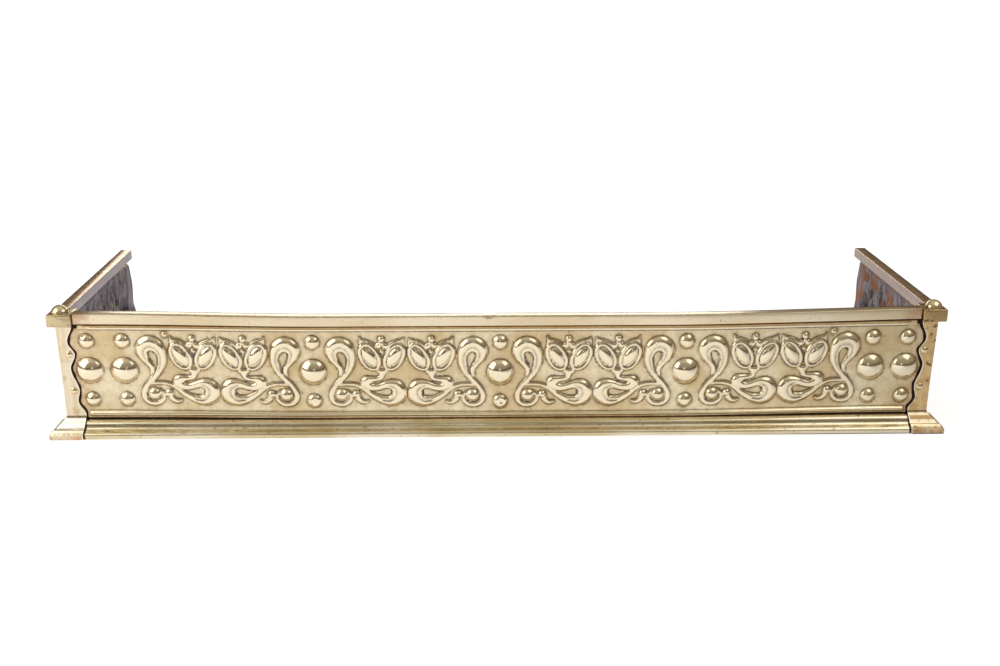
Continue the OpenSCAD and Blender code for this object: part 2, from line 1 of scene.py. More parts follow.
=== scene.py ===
import math

import bmesh
import bpy
import numpy as np
from mathutils import Matrix, Vector


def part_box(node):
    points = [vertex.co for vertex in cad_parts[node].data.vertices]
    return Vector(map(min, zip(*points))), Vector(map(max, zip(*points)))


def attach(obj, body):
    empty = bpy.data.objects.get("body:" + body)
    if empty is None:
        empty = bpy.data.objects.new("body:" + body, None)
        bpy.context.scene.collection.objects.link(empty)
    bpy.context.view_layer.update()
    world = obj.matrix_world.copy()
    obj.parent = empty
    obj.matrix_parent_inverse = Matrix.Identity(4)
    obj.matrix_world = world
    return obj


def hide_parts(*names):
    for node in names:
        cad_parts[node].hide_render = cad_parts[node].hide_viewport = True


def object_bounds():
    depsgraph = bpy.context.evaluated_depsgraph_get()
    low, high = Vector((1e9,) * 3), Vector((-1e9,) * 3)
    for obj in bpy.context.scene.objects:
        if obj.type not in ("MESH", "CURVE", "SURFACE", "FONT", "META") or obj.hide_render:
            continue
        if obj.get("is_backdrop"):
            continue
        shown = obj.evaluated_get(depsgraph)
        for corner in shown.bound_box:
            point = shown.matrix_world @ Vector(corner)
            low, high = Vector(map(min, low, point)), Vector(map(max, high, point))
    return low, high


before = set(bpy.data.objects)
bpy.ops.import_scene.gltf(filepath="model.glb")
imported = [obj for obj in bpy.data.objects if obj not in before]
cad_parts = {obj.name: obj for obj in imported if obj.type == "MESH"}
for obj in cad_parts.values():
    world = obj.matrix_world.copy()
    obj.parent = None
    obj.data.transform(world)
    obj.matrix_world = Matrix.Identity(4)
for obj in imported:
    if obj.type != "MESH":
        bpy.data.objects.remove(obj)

bl_info = {
    "name": "Brass fire fender",
    "version": (1, 0, 0),
    "blender": (4, 5, 0),
    "location": "3D View > Sidebar > Fender",
    "description": "Builds the visible pieces of a pressed brass fire fender around its packed frame",
    "category": "Object",
}

# Metres; +Z is up and the front faces -Y. Sections are (inset, height): the inset runs inwards from the plinth's
# outer face, so the front, left and right runs share one drawing.
MM = 0.001
CAD_LOW, CAD_HIGH = (Vector(c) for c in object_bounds())
WIDTH = CAD_HIGH.x - CAD_LOW.x
DEPTH = CAD_HIGH.y - CAD_LOW.y
RAIL_LOW, RAIL_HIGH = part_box("front_rail")
RAIL_TOP, RAIL_FOOT = RAIL_HIGH.z, RAIL_LOW.z
RAIL_IN = RAIL_LOW.y - CAD_LOW.y
RAIL_WIDTH = RAIL_HIGH.y - RAIL_LOW.y
CAP_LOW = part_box("corner_cap_left")[0]
DOME_LOW, DOME_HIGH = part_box("dome_nut_left")
PLINTH_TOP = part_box("plinth_front")[1].z
SIDES = {"left": -1, "right": 1}

# Places along a run and heights, in millimetres: boss columns, the ends and middles of the beads, strap rivets
COLUMN_IN, COLUMN_BACK, COLUMN_STEP = 65, 47.5, 51
LOW_BEAD_IN, TOP_BEAD_IN = 55.2, 58.4
LOW_BEAD_Z, TOP_BEAD_Z = 33.8, 168.8
RIVET_IN, RIVET_LEVELS = 38.0, (70.5, 128)


def linear(code):
    """Linear RGBA of an sRGB hex value."""
    parts = [int(code[i : i + 2], 16) / 255 for i in (1, 3, 5)]
    return [c / 12.92 if c <= 0.04045 else ((c + 0.055) / 1.055) ** 2.4 for c in parts] + [1.0]


# ---- Settings a user would change ----


def length_property(name, description, millimetres):
    return bpy.props.FloatProperty(name=name, description=description, default=millimetres * MM, unit="LENGTH")


def colour_property(name, description, code):
    return bpy.props.FloatVectorProperty(
        name=name, description=description, default=linear(code), size=4, subtype="COLOR"
    )


class FenderSizes(bpy.types.PropertyGroup):
    """Sizes of the visible pieces."""

    panel_inset: length_property("Panel inset", "Inset of the pressed panels' flat face", 24.1)
    sheet: length_property("Panel sheet", "Thickness of the pressed sheet", 1.0)
    row: length_property("Ornament row", "Height of the large bosses' centres", 102.25)
    cell: length_property("Relief cell", "Mesh cells of the panels' ornament", 1.6)
    scroll_rise: length_property("Scroll rise", "Rise of the broadest scrolls", 7.0)
    sag: length_property("Sag", "Sag of the front rail in its middle", 6.5)
    lean: length_property("Lean", "How far the ends lean outwards under the rail", 1.8)
    cap: length_property("Corner cap", "Side of the square corner caps", 36.0)
    strap_inset: length_property("Strap inset", "Inset of the corner straps' upright face", 22.6)
    strap_sheet: length_property("Strap sheet", "Thickness of the corner straps", 1.5)
    plinth_sheet: length_property("Plinth sheet", "Thickness of the plinth's sheet", 1.2)
    rail_wall: length_property("Rail wall", "Wall of the rail tube", 1.2)


class FenderColours(bpy.types.PropertyGroup):
    """Colours of the finishes."""

    clean: colour_property("Rubbed brass", "Kept bright by polishing", "#F8E9CA")
    field: colour_property("Panel ground", "The panels' flat ground", "#F4E4C2")
    # Also the painted shade up under the rail's overhang
    dull: colour_property("Dull ground", "Less rubbed, olive ground", "#DEC69A")
    # Also the colour of painted shade in the panels' hollows, round their forms and along the beads
    grime: colour_property("Groove grime", "Old polish in the grooves", "#66492A")
    rail: colour_property("Rail brass", "Drawn tube of the top rail", "#EDDDBF")
    heat: colour_property("Red tarnish", "Tarnish by the joints", "#B98A66")
    back: colour_property("Back patina", "Sooted backs of the panels", "#7C7276")
    copper: colour_property("Copper", "Bare patches on the backs", "#B0704C")
    iron: colour_property("Black iron", "Iron of the base frame", "#2C2A28")
    floor: colour_property("Floor", "Studio floor", "#E6E6E6")


def sizes():
    return bpy.context.scene.fender_sizes


def colours():
    return bpy.context.scene.fender_colours


# ---- Materials ----

SMOOTH = {"interpolation_type": "SMOOTHSTEP"}


def add(tree, kind, inputs=(), out=0, **settings):
    """Adds a node and returns the output called out, or all of them. inputs are constants or the outputs to link,
    in the sockets' order or by name or number; settings are the node's properties."""
    node = tree.nodes.new("ShaderNode" + kind)
    for key, value in settings.items():
        setattr(node, key, value)
    pairs = inputs.items() if isinstance(inputs, dict) else enumerate(inputs)
    for key, value in pairs:
        if isinstance(value, bpy.types.NodeSocket):
            tree.links.new(value, node.inputs[key])
        else:
            node.inputs[key].default_value = value
    return node.outputs if out is None else node.outputs[out]


def start_material(name, metallic, roughness):
    """New material with its tree and its Object coordinates in metres."""
    material = bpy.data.materials.new(name)
    material.use_nodes = True
    shader = material.node_tree.nodes["Principled BSDF"]
    shader.inputs["Metallic"].default_value = metallic
    shader.inputs["Roughness"].default_value = roughness
    return material, material.node_tree, add(material.node_tree, "TexCoord", out="Object")


def end_material(material, colour, roughness=None, relief=()):
    """Joins a finish to its shader. relief lists (height, depth in millimetres, strength), the coarsest first."""
    tree = material.node_tree
    ends = {"Base Color": colour, "Roughness": roughness, "Normal": None}
    for height, depth, strength in relief:
        sockets = {"Height": height, "Distance": depth * MM, "Strength": strength}
        if ends["Normal"] is not None:
            sockets["Normal"] = ends["Normal"]
        ends["Normal"] = add(tree, "Bump", sockets)
    for name, source in ends.items():
        if source is not None:
            tree.links.new(source, tree.nodes["Principled BSDF"].inputs[name])
    return material


def mottle(tree, place, size_mm, detail=3.0, stretch=(1, 1, 1)):
    """Cloudy pattern whose blotches are about size_mm across, from 0 to 1."""
    stretched = add(tree, "Mapping", {"Vector": place, "Scale": stretch})
    return add(tree, "TexNoise", {"Vector": stretched, "Scale": 1 / (size_mm * MM), "Detail": detail}, "Fac")


def patches(tree, place, size_mm, detail, low, high, start=0.0, end=1.0, stretch=(1, 1, 1)):
    """Patches cut from a mottle: start outside them, end inside, and soft where the mottle runs from low to high."""
    cloud = mottle(tree, place, size_mm, detail, stretch)
    return add(tree, "MapRange", [cloud, low, high, start, end], **SMOOTH)


def zone(tree, place, axis, low, high, start=0.0, end=1.0):
    """Part of a piece, by its place along an axis: runs from start to end between low and high, in metres."""
    return add(tree, "MapRange", [add(tree, "SeparateXYZ", [place], axis), low, high, start, end], **SMOOTH)


def layer(tree, under, colour, *shares, mode="MIX"):
    """Colour over what lies under it, as far as all the shares together let it."""
    share = shares[0]
    for other in shares[1:]:
        share = add(tree, "Math", [share, other], operation="MULTIPLY")
    return add(tree, "Mix", {0: share, 6: under, 7: colour}, 2, data_type="RGBA", blend_type=mode)


def pressed_sheet_brass():
    """Pressed and hand-polished sheet: bright on the relief, duller ground, dark polish and painted shade in the
    hollows and round the forms.
    """
    material, tree, place = start_material("pressed_sheet_brass", 1.0, 0.2)
    wear_and_painted_light = add(tree, "Attribute", out="Color", attribute_name="wear_and_painted_light")
    raised, hollow_grime_and_shade, strap_edge_grime_and_shade = add(tree, "SeparateColor", [wear_and_painted_light], None)
    # Ground in broad soft clouds, duller and more olive up under the top bead, where painted shade stands for the
    # rail's overhang
    rail_overhang_shade = zone(tree, place, "Z", 0.148, 0.168, 0.0, 0.8)
    shaded = add(tree, "Math", [patches(tree, place, 75, 2, 0.36, 0.64), rail_overhang_shade], operation="MAXIMUM")
    ground = layer(tree, colours().field, colours().dull, shaded)
    fine = mottle(tree, place, 8, 4)
    haze = add(tree, "MapRange", [fine, 0.4, 0.7, 0.0, 0.25], **SMOOTH)
    rubbed = layer(tree, layer(tree, ground, linear("#BFA878"), haze), colours().clean, raised)
    # Brown polish and painted shade in the hollows, round the forms and along the beads, in patches; nearly black along
    # the straps' edges and in the joints, where it is painted shadow with grime
    patchy = add(tree, "MapRange", [fine, 0.3, 0.62, 0.42, 1.0], **SMOOTH)
    darkening = add(tree, "Math", [hollow_grime_and_shade, patchy], operation="MULTIPLY")
    spots = patches(tree, place, 3.4, 1.0, 0.72, 0.8, 0.0, 0.7)
    grime_shade_and_spots = add(tree, "Math", [darkening, spots], operation="MAXIMUM")
    stained = layer(tree, rubbed, colours().grime, grime_shade_and_spots)
    halo = add(tree, "MapRange", [strap_edge_grime_and_shade, 0.0, 0.5, 0.0, 0.85], **SMOOTH)
    reddened = layer(tree, stained, colours().heat, halo, patchy)
    edge = add(tree, "MapRange", [strap_edge_grime_and_shade, 0.5, 0.9, 0.0, 1.0], **SMOOTH)
    edge_shaded = layer(tree, reddened, linear("#2A221C"), edge)
    smooth = add(tree, "MapRange", [raised, 0.0, 1.0, 0.3, 0.16], **SMOOTH)
    rough = add(tree, "Math", [grime_shade_and_spots, 0.25, smooth], operation="MULTIPLY_ADD")
    waves, grain = mottle(tree, place, 34, 1.0), mottle(tree, place, 3, 2.0)
    return end_material(material, edge_shaded, rough, [(waves, 1.6, 0.3), (grain, 0.06, 0.4)])


def sooted_back_brass():
    """Unpolished back of the sheet: soot and heat patina, mauve-grey with a weak sheen and bare coppery patches."""
    material, tree, place = start_material("sooted_back_brass", 0.8, 0.4)
    streak = patches(tree, place, 9, 4, 0.36, 0.64, stretch=(1, 1, 0.14))
    soot = layer(tree, linear("#443C42"), linear("#C6BAC0"), streak)
    base = layer(tree, soot, colours().back, mottle(tree, place, 45, 3))
    bare = patches(tree, place, 26, 2, 0.54, 0.62, 0.0, 0.8, (1, 1, 0.6))
    coppery = layer(tree, base, colours().copper, bare, zone(tree, place, "X", 0.55, 0.62))
    rough = add(tree, "MapRange", [streak, 0.0, 1.0, 0.34, 0.55], **SMOOTH)
    return end_material(material, coppery, rough, [(streak, 3.0, 1.0)])


def drawn_tube_brass():
    """Drawn square tube, rubbed along its length: pale and warm, redder and darker where it meets the caps."""
    material, tree, place = start_material("drawn_tube_brass", 1.0, 0.22)
    cloud = patches(tree, place, 60, 3, 0.35, 0.65, stretch=(0.35, 1, 1))
    body = layer(tree, colours().rail, linear("#DFCBA8"), cloud)
    ends = [zone(tree, place, "X", -0.595, -0.612, 0.0, 0.8), zone(tree, place, "X", 0.588, 0.618, 0.0, 0.8)]
    near_cap = add(tree, "Math", ends, operation="MAXIMUM")
    tinted = layer(
        tree, body, colours().heat, near_cap, patches(tree, place, 16, 3, 0.3, 0.6, 0.25, 1.0, (0.5, 1, 1))
    )
    pitted = layer(tree, tinted, colours().grime, patches(tree, place, 3.6, 1.0, 0.735, 0.79, 0.0, 0.6))
    # Faces towards the fire are mauve, soot with a painted dark reflection, darker on the left, and the joint with the
    # cap is black
    both_ends = add(tree, "VectorMath", [place], operation="ABSOLUTE")
    inside = WIDTH / 2 - RAIL_IN - RAIL_WIDTH
    behind = CAD_LOW.y + RAIL_IN + RAIL_WIDTH
    mauve = layer(tree, linear("#ACA0AA"), linear("#CAB6AE"), zone(tree, place, "X", -0.5, 0.5))
    soot_and_dark_reflection = layer(
        tree, pitted, mauve, zone(tree, both_ends, "X", inside + 0.6 * MM, inside + 0.2 * MM, 0.0, 0.8),
        zone(tree, place, "Y", behind - 0.6 * MM, behind - 0.2 * MM),
    )
    cap_face = -cap_reach()
    jointed = layer(
        tree, soot_and_dark_reflection, linear("#2E241C"), zone(tree, both_ends, "X", cap_face - 2.2 * MM, cap_face - 0.6 * MM, 0.0, 0.9),
        zone(tree, place, "Y", behind + 1 * MM, behind),
    )
    hair = mottle(tree, place, 1.2, 2, (0.05, 1, 1))
    rough = add(tree, "MapRange", [hair, 0.3, 0.7, 0.18, 0.27], **SMOOTH)
    return end_material(material, jointed, rough, [(mottle(tree, place, 60, 1.0), 1.0, 0.25), (hair, 0.03, 0.35)])


def rolled_moulding_brass():
    """Rolled moulding of the plinth: bright rounds, olive tarnish in patches, fine rubbing along its length."""
    material, tree, place = start_material("rolled_moulding_brass", 1.0, 0.18)
    cloud = patches(tree, place, 45, 4, 0.38, 0.62, stretch=(0.3, 1, 1))
    body = layer(tree, linear("#F0E4CA"), linear("#D8C79E"), cloud)
    marked = layer(tree, body, linear("#8A7448"), patches(tree, place, 5, 2.0, 0.64, 0.74, 0.0, 0.7, (0.6, 1, 1)))
    # Painted shade, nearly black, in the gap under the panel, beside the straps' feet and, at the right, along the
    # hearth
    panel_gap_shade = zone(tree, place, "Z", PLINTH_TOP - 0.6 * MM, PLINTH_TOP - 0.1 * MM, 0.0, 0.9)
    across, along, _ = add(tree, "SeparateXYZ", [place], None)
    out = add(tree, "Math", [across], operation="ABSOLUTE")
    from_end = add(tree, "Math", [WIDTH / 2, out], operation="SUBTRACT")
    from_front = add(tree, "Math", [along, CAD_LOW.y], operation="SUBTRACT")
    from_corner = add(tree, "Math", [from_end, from_front], operation="MAXIMUM")
    beside = add(tree, "Math", [mottle(tree, place, 9, 1.0), 3 * MM, from_corner], operation="MULTIPLY_ADD")
    foot_shade = add(tree, "MapRange", [beside, 56.5 * MM, 54.2 * MM, 0.0, 0.95], **SMOOTH)
    lowest, on_right = zone(tree, place, "Z", 1.8 * MM, 1 * MM), zone(tree, place, "X", 0.3, 0.5, 0.0, 0.9)
    under = add(tree, "Math", [lowest, on_right], operation="MULTIPLY")
    plinth_shade = add(tree, "Math", [panel_gap_shade, foot_shade], operation="MAXIMUM")
    plinth_shade = add(tree, "Math", [plinth_shade, under], operation="MAXIMUM")
    hair = mottle(tree, place, 1.5, 2, (0.04, 1, 1))
    rough = add(tree, "MapRange", [hair, 0.3, 0.7, 0.2, 0.32], **SMOOTH)
    waves = mottle(tree, place, 30, 1.0, (0.4, 1, 1))
    return end_material(material, layer(tree, marked, linear("#30261C"), plinth_shade), rough, [(waves, 0.7, 0.25)])


def folded_strap_brass():
    """Folded strap, brushed up and down and stained in patches, darker and redder on the right-hand one."""
    material, tree, place = start_material("folded_strap_brass", 1.0, 0.24)
    brushed = patches(tree, place, 5, 3, 0.3, 0.7, stretch=(1, 1, 0.08))
    colour = layer(tree, linear("#EADCC2"), linear("#E0CDAA"), brushed)
    colour = layer(tree, colour, linear("#C2A07C"), patches(tree, place, 18, 3, 0.5, 0.68, 0.0, 0.55))
    lip, smears = zone(tree, place, "Z", 0.0076, 0.0058), patches(tree, place, 11, 2, 0.35, 0.65, 0.1, 0.75)
    colour = layer(tree, colour, linear("#C8955C"), lip, smears)
    spots = patches(tree, place, 9, 1.0, 0.66, 0.7, 0.0, 0.75)
    colour = layer(tree, colour, linear("#6A5436"), spots, zone(tree, place, "X", 0.55, 0.6))
    # Paler on the foot's slope: a painted highlight, so its reflection shows white
    slope = [zone(tree, place, "Z", 0.011, 0.013), zone(tree, place, "Z", 0.029, 0.026, 0.0, 0.5)]
    colour = layer(tree, colour, linear("#F6F0E6"), *slope)
    # Painted reflection, a brown band across the right foot's slope, and painted shadow, black where it meets the
    # hearth
    on_right = zone(tree, place, "X", 0.5, 0.6)
    band = [zone(tree, place, "Z", 0.0175, 0.0195), zone(tree, place, "Z", 0.0245, 0.0225)]
    lines = [add(tree, "Math", band, operation="MULTIPLY"), zone(tree, place, "Z", 0.0018, 0.0008)]
    darkening = layer(tree, linear("#3A3034"), linear("#A8906E"), zone(tree, place, "Z", 0.004, 0.008))
    colour = layer(tree, colour, darkening, add(tree, "Math", lines, operation="MAXIMUM"), on_right)
    tone = layer(tree, linear("#E6DCC8"), linear("#F4DEB6"), zone(tree, place, "Z", 0.028, 0.033))
    colour = layer(tree, colour, tone, on_right, zone(tree, place, "Z", 0.004, 0.012, 0.5, 0.9), mode="MULTIPLY")
    # Free edges bright: a painted highlight, where they are also rubbed
    rim = add(tree, "Attribute", out="Fac", attribute_name="wear_and_painted_light")
    rough = add(tree, "MapRange", [brushed, 0.0, 1.0, 0.17, 0.25], **SMOOTH)
    return end_material(material, layer(tree, colour, linear("#FFF4DE"), rim), rough, [(brushed, 0.05, 0.4)])


def cast_cap_brass():
    """Cast and filed cap: softly dulled brass with small tarnish spots, more of them on the right-hand one."""
    material, tree, place = start_material("cast_cap_brass", 1.0, 0.25)
    cloud = mottle(tree, place, 12, 4)
    body = layer(tree, linear("#D6C49E"), linear("#C2AC84"), cloud)
    right = zone(tree, place, "X", 0.55, 0.6, 0.35, 1.0)
    spotted = layer(tree, body, linear("#5E4A2C"), patches(tree, place, 7, 1.0, 0.58, 0.66, 0.0, 0.8), right)
    duller = add(tree, "MapRange", [right, 0.5, 1.0, 0.0, 0.8], **SMOOTH)
    toned = layer(tree, spotted, linear("#DCC8AE"), duller, mode="MULTIPLY")
    return end_material(material, toned, relief=[(cloud, 0.15, 0.4)])


def turned_brass():
    """Turned domes and rivet heads, the brightest brass: smooth, with a trace of grime."""
    material, tree, place = start_material("turned_brass", 1.0, 0.13)
    cloud = mottle(tree, place, 6, 3)
    body = layer(tree, colours().clean, linear("#DCC698"), cloud)
    return end_material(material, body, relief=[(cloud, 0.1, 0.3)])


def black_iron():
    """Hot-rolled bar, blackened: dull, slightly scaly, with a little rust."""
    material, tree, place = start_material("black_iron", 0.6, 0.55)
    scale = mottle(tree, place, 4, 4)
    body = layer(tree, colours().iron, linear("#4A4643"), scale)
    rusty = layer(tree, body, linear("#5E3B26"), patches(tree, place, 18, 4, 0.55, 0.75, 0.0, 0.6))
    return end_material(material, rusty, relief=[(scale, 0.2, 0.5)])


def steel_fasteners():
    """Machined steel screws, oiled and gone grey-brown."""
    material, tree, place = start_material("steel_fasteners", 0.9, 0.4)
    return end_material(material, layer(tree, linear("#6A655E"), linear("#4B4238"), mottle(tree, place, 3, 3)))


def studio_floor():
    """Pale sweep of paper that keeps its shadows: white to the camera, and to the metal white in front,
    dimmer towards the right and behind, as the photographed room is."""
    material, tree, place = start_material("studio_floor", 0.0, 0.9)
    shader = tree.nodes["Principled BSDF"]
    shader.inputs["Base Color"].default_value = colours().floor
    rays = add(tree, "LightPath", out=None)
    away = add(tree, "VectorMath", [place], "Value", operation="LENGTH")
    white = add(tree, "MapRange", [away, 0.9, 3.0, 0.55, 1.0], **SMOOTH)
    sideways, behind = zone(tree, place, "X", 0.25, 0.9, 0.76, 0.1), zone(tree, place, "Y", 0.1, 0.5, 1.0, 0.0)
    dim = add(tree, "Math", [sideways, behind], operation="MULTIPLY")
    mirrored = add(tree, "Math", [rays["Is Glossy Ray"], rays["Is Transmission Ray"]], operation="MAXIMUM")
    glow = add(tree, "Math", [mirrored, dim, rays["Is Camera Ray"]], operation="MULTIPLY_ADD")
    shader.inputs["Emission Color"].default_value = linear("#FFFFFF")
    tree.links.new(add(tree, "Math", [glow, white], operation="MULTIPLY"), shader.inputs["Emission Strength"])
    return material


def finish(make):
    """The material that a function makes, made the first time it is asked for."""
    return bpy.data.materials.get(make.__name__) or make()


# ---- Placing ----


def placed(run, x, inset, z):
    """World points of a run: x along it, from the middle on the front and from the corner on a side."""
    if run == "front":
        return np.stack([x, inset + CAD_LOW.y, z], 1)
    return np.stack([SIDES[run] * (WIDTH / 2 - inset), x + CAD_LOW.y, z], 1)


def ease(low, high, value):
    """Share that runs smoothly from 0 to 1 while the value runs from low to high."""
    t = np.clip((value - low) / (high - low), 0, 1)
    return t * t * (3 - 2 * t)


def bell(distance, width):
    """1 in the middle, and falling away smoothly over the width."""
    return np.exp(-((distance / width) ** 2))


def in_mm(z, heights, values):
    """Values in metres between those given at some heights, both in millimetres."""
    return np.interp(z, np.array(heights) * MM, np.array(values) * MM)


def worn(points, leaning=True):
    """Wear of the whole fender, at world points: a sagged front, leaning ends and bent rear ends."""
    x, y, z = points.T
    below_rail = z < RAIL_FOOT + 0.5 * MM
    # The front rail has been stood on, so the middle lies lower, least at the plinth
    on_front = y < CAD_LOW.y + 60 * MM
    heights = np.array([0, 10, 24.5, 29, 38, 56, 102, 148, 170, 192]) * MM
    drops = np.array([0, 0.12, 0.42, 0.52, 0.76, 0.82, 0.83, 0.7, 0.8, 1.0]) * sizes().sag
    sunk = np.interp(z, heights, drops) * (ease(0.62, 0.25, np.abs(x)) * on_front)
    # From the middle to the right end the panel and strap stand lower under the rail, most just above the plinth
    near_front = ease(160 * MM, 50 * MM, y - CAD_LOW.y)
    slack = in_mm(z, [24, 30, 45, 100, 150, 172], [0, 0.6, 2.2, 1.6, 0.8, 0])
    sunk = sunk + slack * ease(-0.22, 0.02, x) * near_front
    # The ends lean outwards under the rails, and the right front corner stands a little higher than its rear end
    out = leaning * sizes().lean * ease(60 * MM, 173 * MM, z) * ease(0.55, 0.64, np.abs(x)) * below_rail
    back = np.clip((y - CAD_LOW.y) / DEPTH, 0, 1)
    lift = sizes().lean * (1 - 2 * back) * ease(164 * MM, 176 * MM, z) * ease(0.5, 0.64, x)
    # Below the rail the free rear ends of the side panels are bent inwards, in waves, the left one more
    levels = [20, 45, 70, 95, 130, 160, 176]
    left, right = in_mm(z, levels, [0, 6, 11, 6, 8, 6, 2]), in_mm(z, levels, [0, 2, 3, 1, 3, 1, 0])
    bent = np.where(x < 0, left, right) * ease(CAD_HIGH.y - 110 * MM, CAD_HIGH.y, y) * below_rail
    on_side = np.abs(x) > WIDTH / 2 - 45 * MM
    return np.stack([x + np.sign(x) * (out - bent * on_side), y, z - sunk + lift], 1)


def read_points(mesh):
    flat = np.empty(len(mesh.vertices) * 3, np.float64)
    mesh.vertices.foreach_get("co", flat)
    return flat.reshape(-1, 3)


def write_points(mesh, points):
    mesh.vertices.foreach_set("co", points.astype(np.float32).ravel())
    mesh.update()


def everything(bm):
    return bm.verts[:] + bm.edges[:] + bm.faces[:]


def link(name, data):
    """Object with that data, in the scene."""
    obj = bpy.data.objects.new(name, data)
    bpy.context.scene.collection.objects.link(obj)
    return obj


def piece(name, bm, finishes, crease=40):
    """Object from a bmesh, shaded smooth up to the crease angle, riding the root body in place of its node."""
    bmesh.ops.recalc_face_normals(bm, faces=bm.faces)
    mesh = bpy.data.meshes.new(name)
    bm.to_mesh(mesh)
    bm.free()
    for make in finishes:
        mesh.materials.append(finish(make))
    mesh.polygons.foreach_set("use_smooth", [True] * len(mesh.polygons))
    mesh.set_sharp_from_angle(angle=math.radians(crease))
    obj = link(name, mesh)
    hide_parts(name)
    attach(obj, "root")
    return obj


# ---- Relief of the pressed panels, in millimetres from the middle of a motif and from the ornament row ----

# Knots of the strokes in half a motif: x, height, half width
LOOP = [
    (-100.4, -4.4, 1.8), (-98.6, -1, 2.8), (-98.4, 4, 3.4), (-100.8, 9.5, 4), (-105.4, 15.8, 4.8), (-110, 22.5, 6.8),
    (-112.2, 31, 9), (-108.8, 39, 10.8), (-99.5, 43.4, 11.2), (-88.8, 38.6, 9.8), (-83.2, 26, 6.9), (-83.4, 14, 6.4),
    (-86.6, 4.6, 5.2), (-91, -3.4, 4.4),
]
STEM = LOOP[-2:] + [
    (-95.8, -8.8, 4.2), (-100.4, -13.6, 4.2), (-106.4, -20, 3.7), (-111, -27.5, 3.7), (-113.8, -35.5, 3.8),
    (-113, -43, 3.8), (-108.5, -48.8, 3.8), (-100.8, -51.5, 3.7), (-92.8, -50.4, 3.7), (-86.5, -45.2, 3.6),
    (-84, -38, 2.4),
]
HOOK = [
    (-37.6, -5, 3.8), (-39, -8.5, 3.8), (-45, -10.6, 3.3), (-52.5, -11.4, 4.3), (-59.8, -13.6, 7.2),
    (-60.8, -18.3, 8.8), (-55.4, -22.8, 6.4), (-47.6, -24.3, 5.2), (-40, -23, 5), (-31, -19.8, 5.7),
]
CRESCENT = HOOK[-2:] + [
    (-22.6, -19.4, 7.4), (-15, -22.6, 9.8), (-11.4, -30.3, 11), (-12.8, -38, 11.2), (-18.6, -43.6, 9.4),
    (-27, -46, 7.8), (-35.8, -44.4, 6.4),
]
TAIL = CRESCENT[-2:] + [
    (-44.8, -40.6, 5), (-54, -35, 4.1), (-62.5, -28, 3.4), (-71, -22.4, 3), (-80, -19.4, 2.8),
    (-89.5, -18.6, 2.6), (-99, -19.4, 2.2), (-105, -21, 1.5),
]
# Neck of the vase under each pair of pods
VASE = [
    [(-42, 1.6, 3), (-36.4, 0.4, 4.4), (-30.8, 1.6, 3)],
    [(-36.4, -0.5, 5.2), (-37.4, -5, 4), (-38.8, -9, 3.4)],
]
# Buds beside the stem's ball, then the leaves above the pods
TWIGS = [
    [(-76.4, -36, 4.4), (-73.2, -42, 4.4), (-68.5, -46.6, 3.6), (-63, -47.8, 2.8), (-59.4, -46.4, 2)],
    [(-90, -31, 2.4), (-83.6, -36.3, 2.6), (-78.5, -37.6, 3)],
    [(-46, 40, 1.8), (-53, 44.2, 3.4), (-60.5, 46.8, 3.6), (-66, 49.6, 2.4), (-68.6, 53.5, 1)],
    [(-64.8, 38, 3.4), (-66.8, 45.5, 3.4), (-68.8, 54.5, 1.2)],
    [(-29, 37.4, 2.2), (-23.5, 42, 3.8), (-16, 45.6, 3.8), (-9, 48.8, 2.4), (-3.8, 52.5, 1)],
    [(-4.6, 52, 1), (-4.8, 45, 2.2), (-6.2, 37, 2.2)],
]
# Strokes in the order in which they are pressed: knots, whether stepped, share of the broadest scrolls' rise
STROKES = [
    (LOOP, True, 1), (STEM, False, 0.72), (HOOK, False, 0.95), (CRESCENT, True, 1), (TAIL, False, 0.72),
    *[(knots, False, 0.7) for knots in VASE + TWIGS],
]
# Pods and the seeds inside them: middle x and height, half length, half width, lean in degrees
PODS = [(-55.2, 24.2, 23.8, 15.8, 27), (-18.4, 24, 23.6, 15.4, -29)]
SEEDS = [(-55.8, 25.6, 17.6, 8.7, 31), (-18, 24.8, 17.6, 8.7, -32)]
# Balls: x, height, radius, rise
BALLS = [
    (-98.4, -36.4, 9.8, 6.8), (-76.2, -35, 5.8, 4.8), (-37.2, 51.2, 4.9, 3.8), (-41.4, 41.4, 4.6, 3.5),
    (-31.8, 40.6, 4.6, 3.5), (-36.8, 45.4, 3, 4.4), (-36.4, 32.4, 3.3, 2.8),
]
MOTIF_HALF = 126
# Bosses of a column: height from the row, radius, rise
BOSSES = [(0, 19.9, 10.7), (46, 11, 6.8), (-46, 11, 6.8)]
BOSS_ROOM = 30
# Knocks in the front: x, height, reach, depth
DENTS = [
    (-278, 56, 4, 2.6), (-282, 51, 2.6, 1.4), (1, 57, 4.2, 2.8), (-4, 52, 2.4, 1.2), (279, 54.5, 2.2, 0.8),
    (-33, 96, 2.5, 0.3), (330, 120, 9, 0.35), (-500, 80, 12, 0.4), (120, 60, 10, 0.35),
]
# Inside distance where no raised form is near
FAR = -50.0


def flowing(knots, steps=6):
    """Smooth curve through the knots, which carry their half widths."""
    k = np.array([knots[0], *knots, knots[-1]], float)
    t = np.linspace(0, 1, steps, endpoint=False)[:, None]
    spans = [
        0.5 * (2 * b + (c - a) * t + (2 * a - 5 * b + 4 * c - d) * t**2 + (3 * b - a - 3 * c + d) * t**3)
        for a, b, c, d in zip(k, k[1:], k[2:], k[3:])
    ]
    return np.concatenate([*spans, k[-1:]])


def rounded(inside, reach, power):
    """Rise from 0 at an edge to 1 at the reach inside it, the squarer the higher the power."""
    return 1 - (1 - np.clip(inside / reach, 0, 1)) ** power


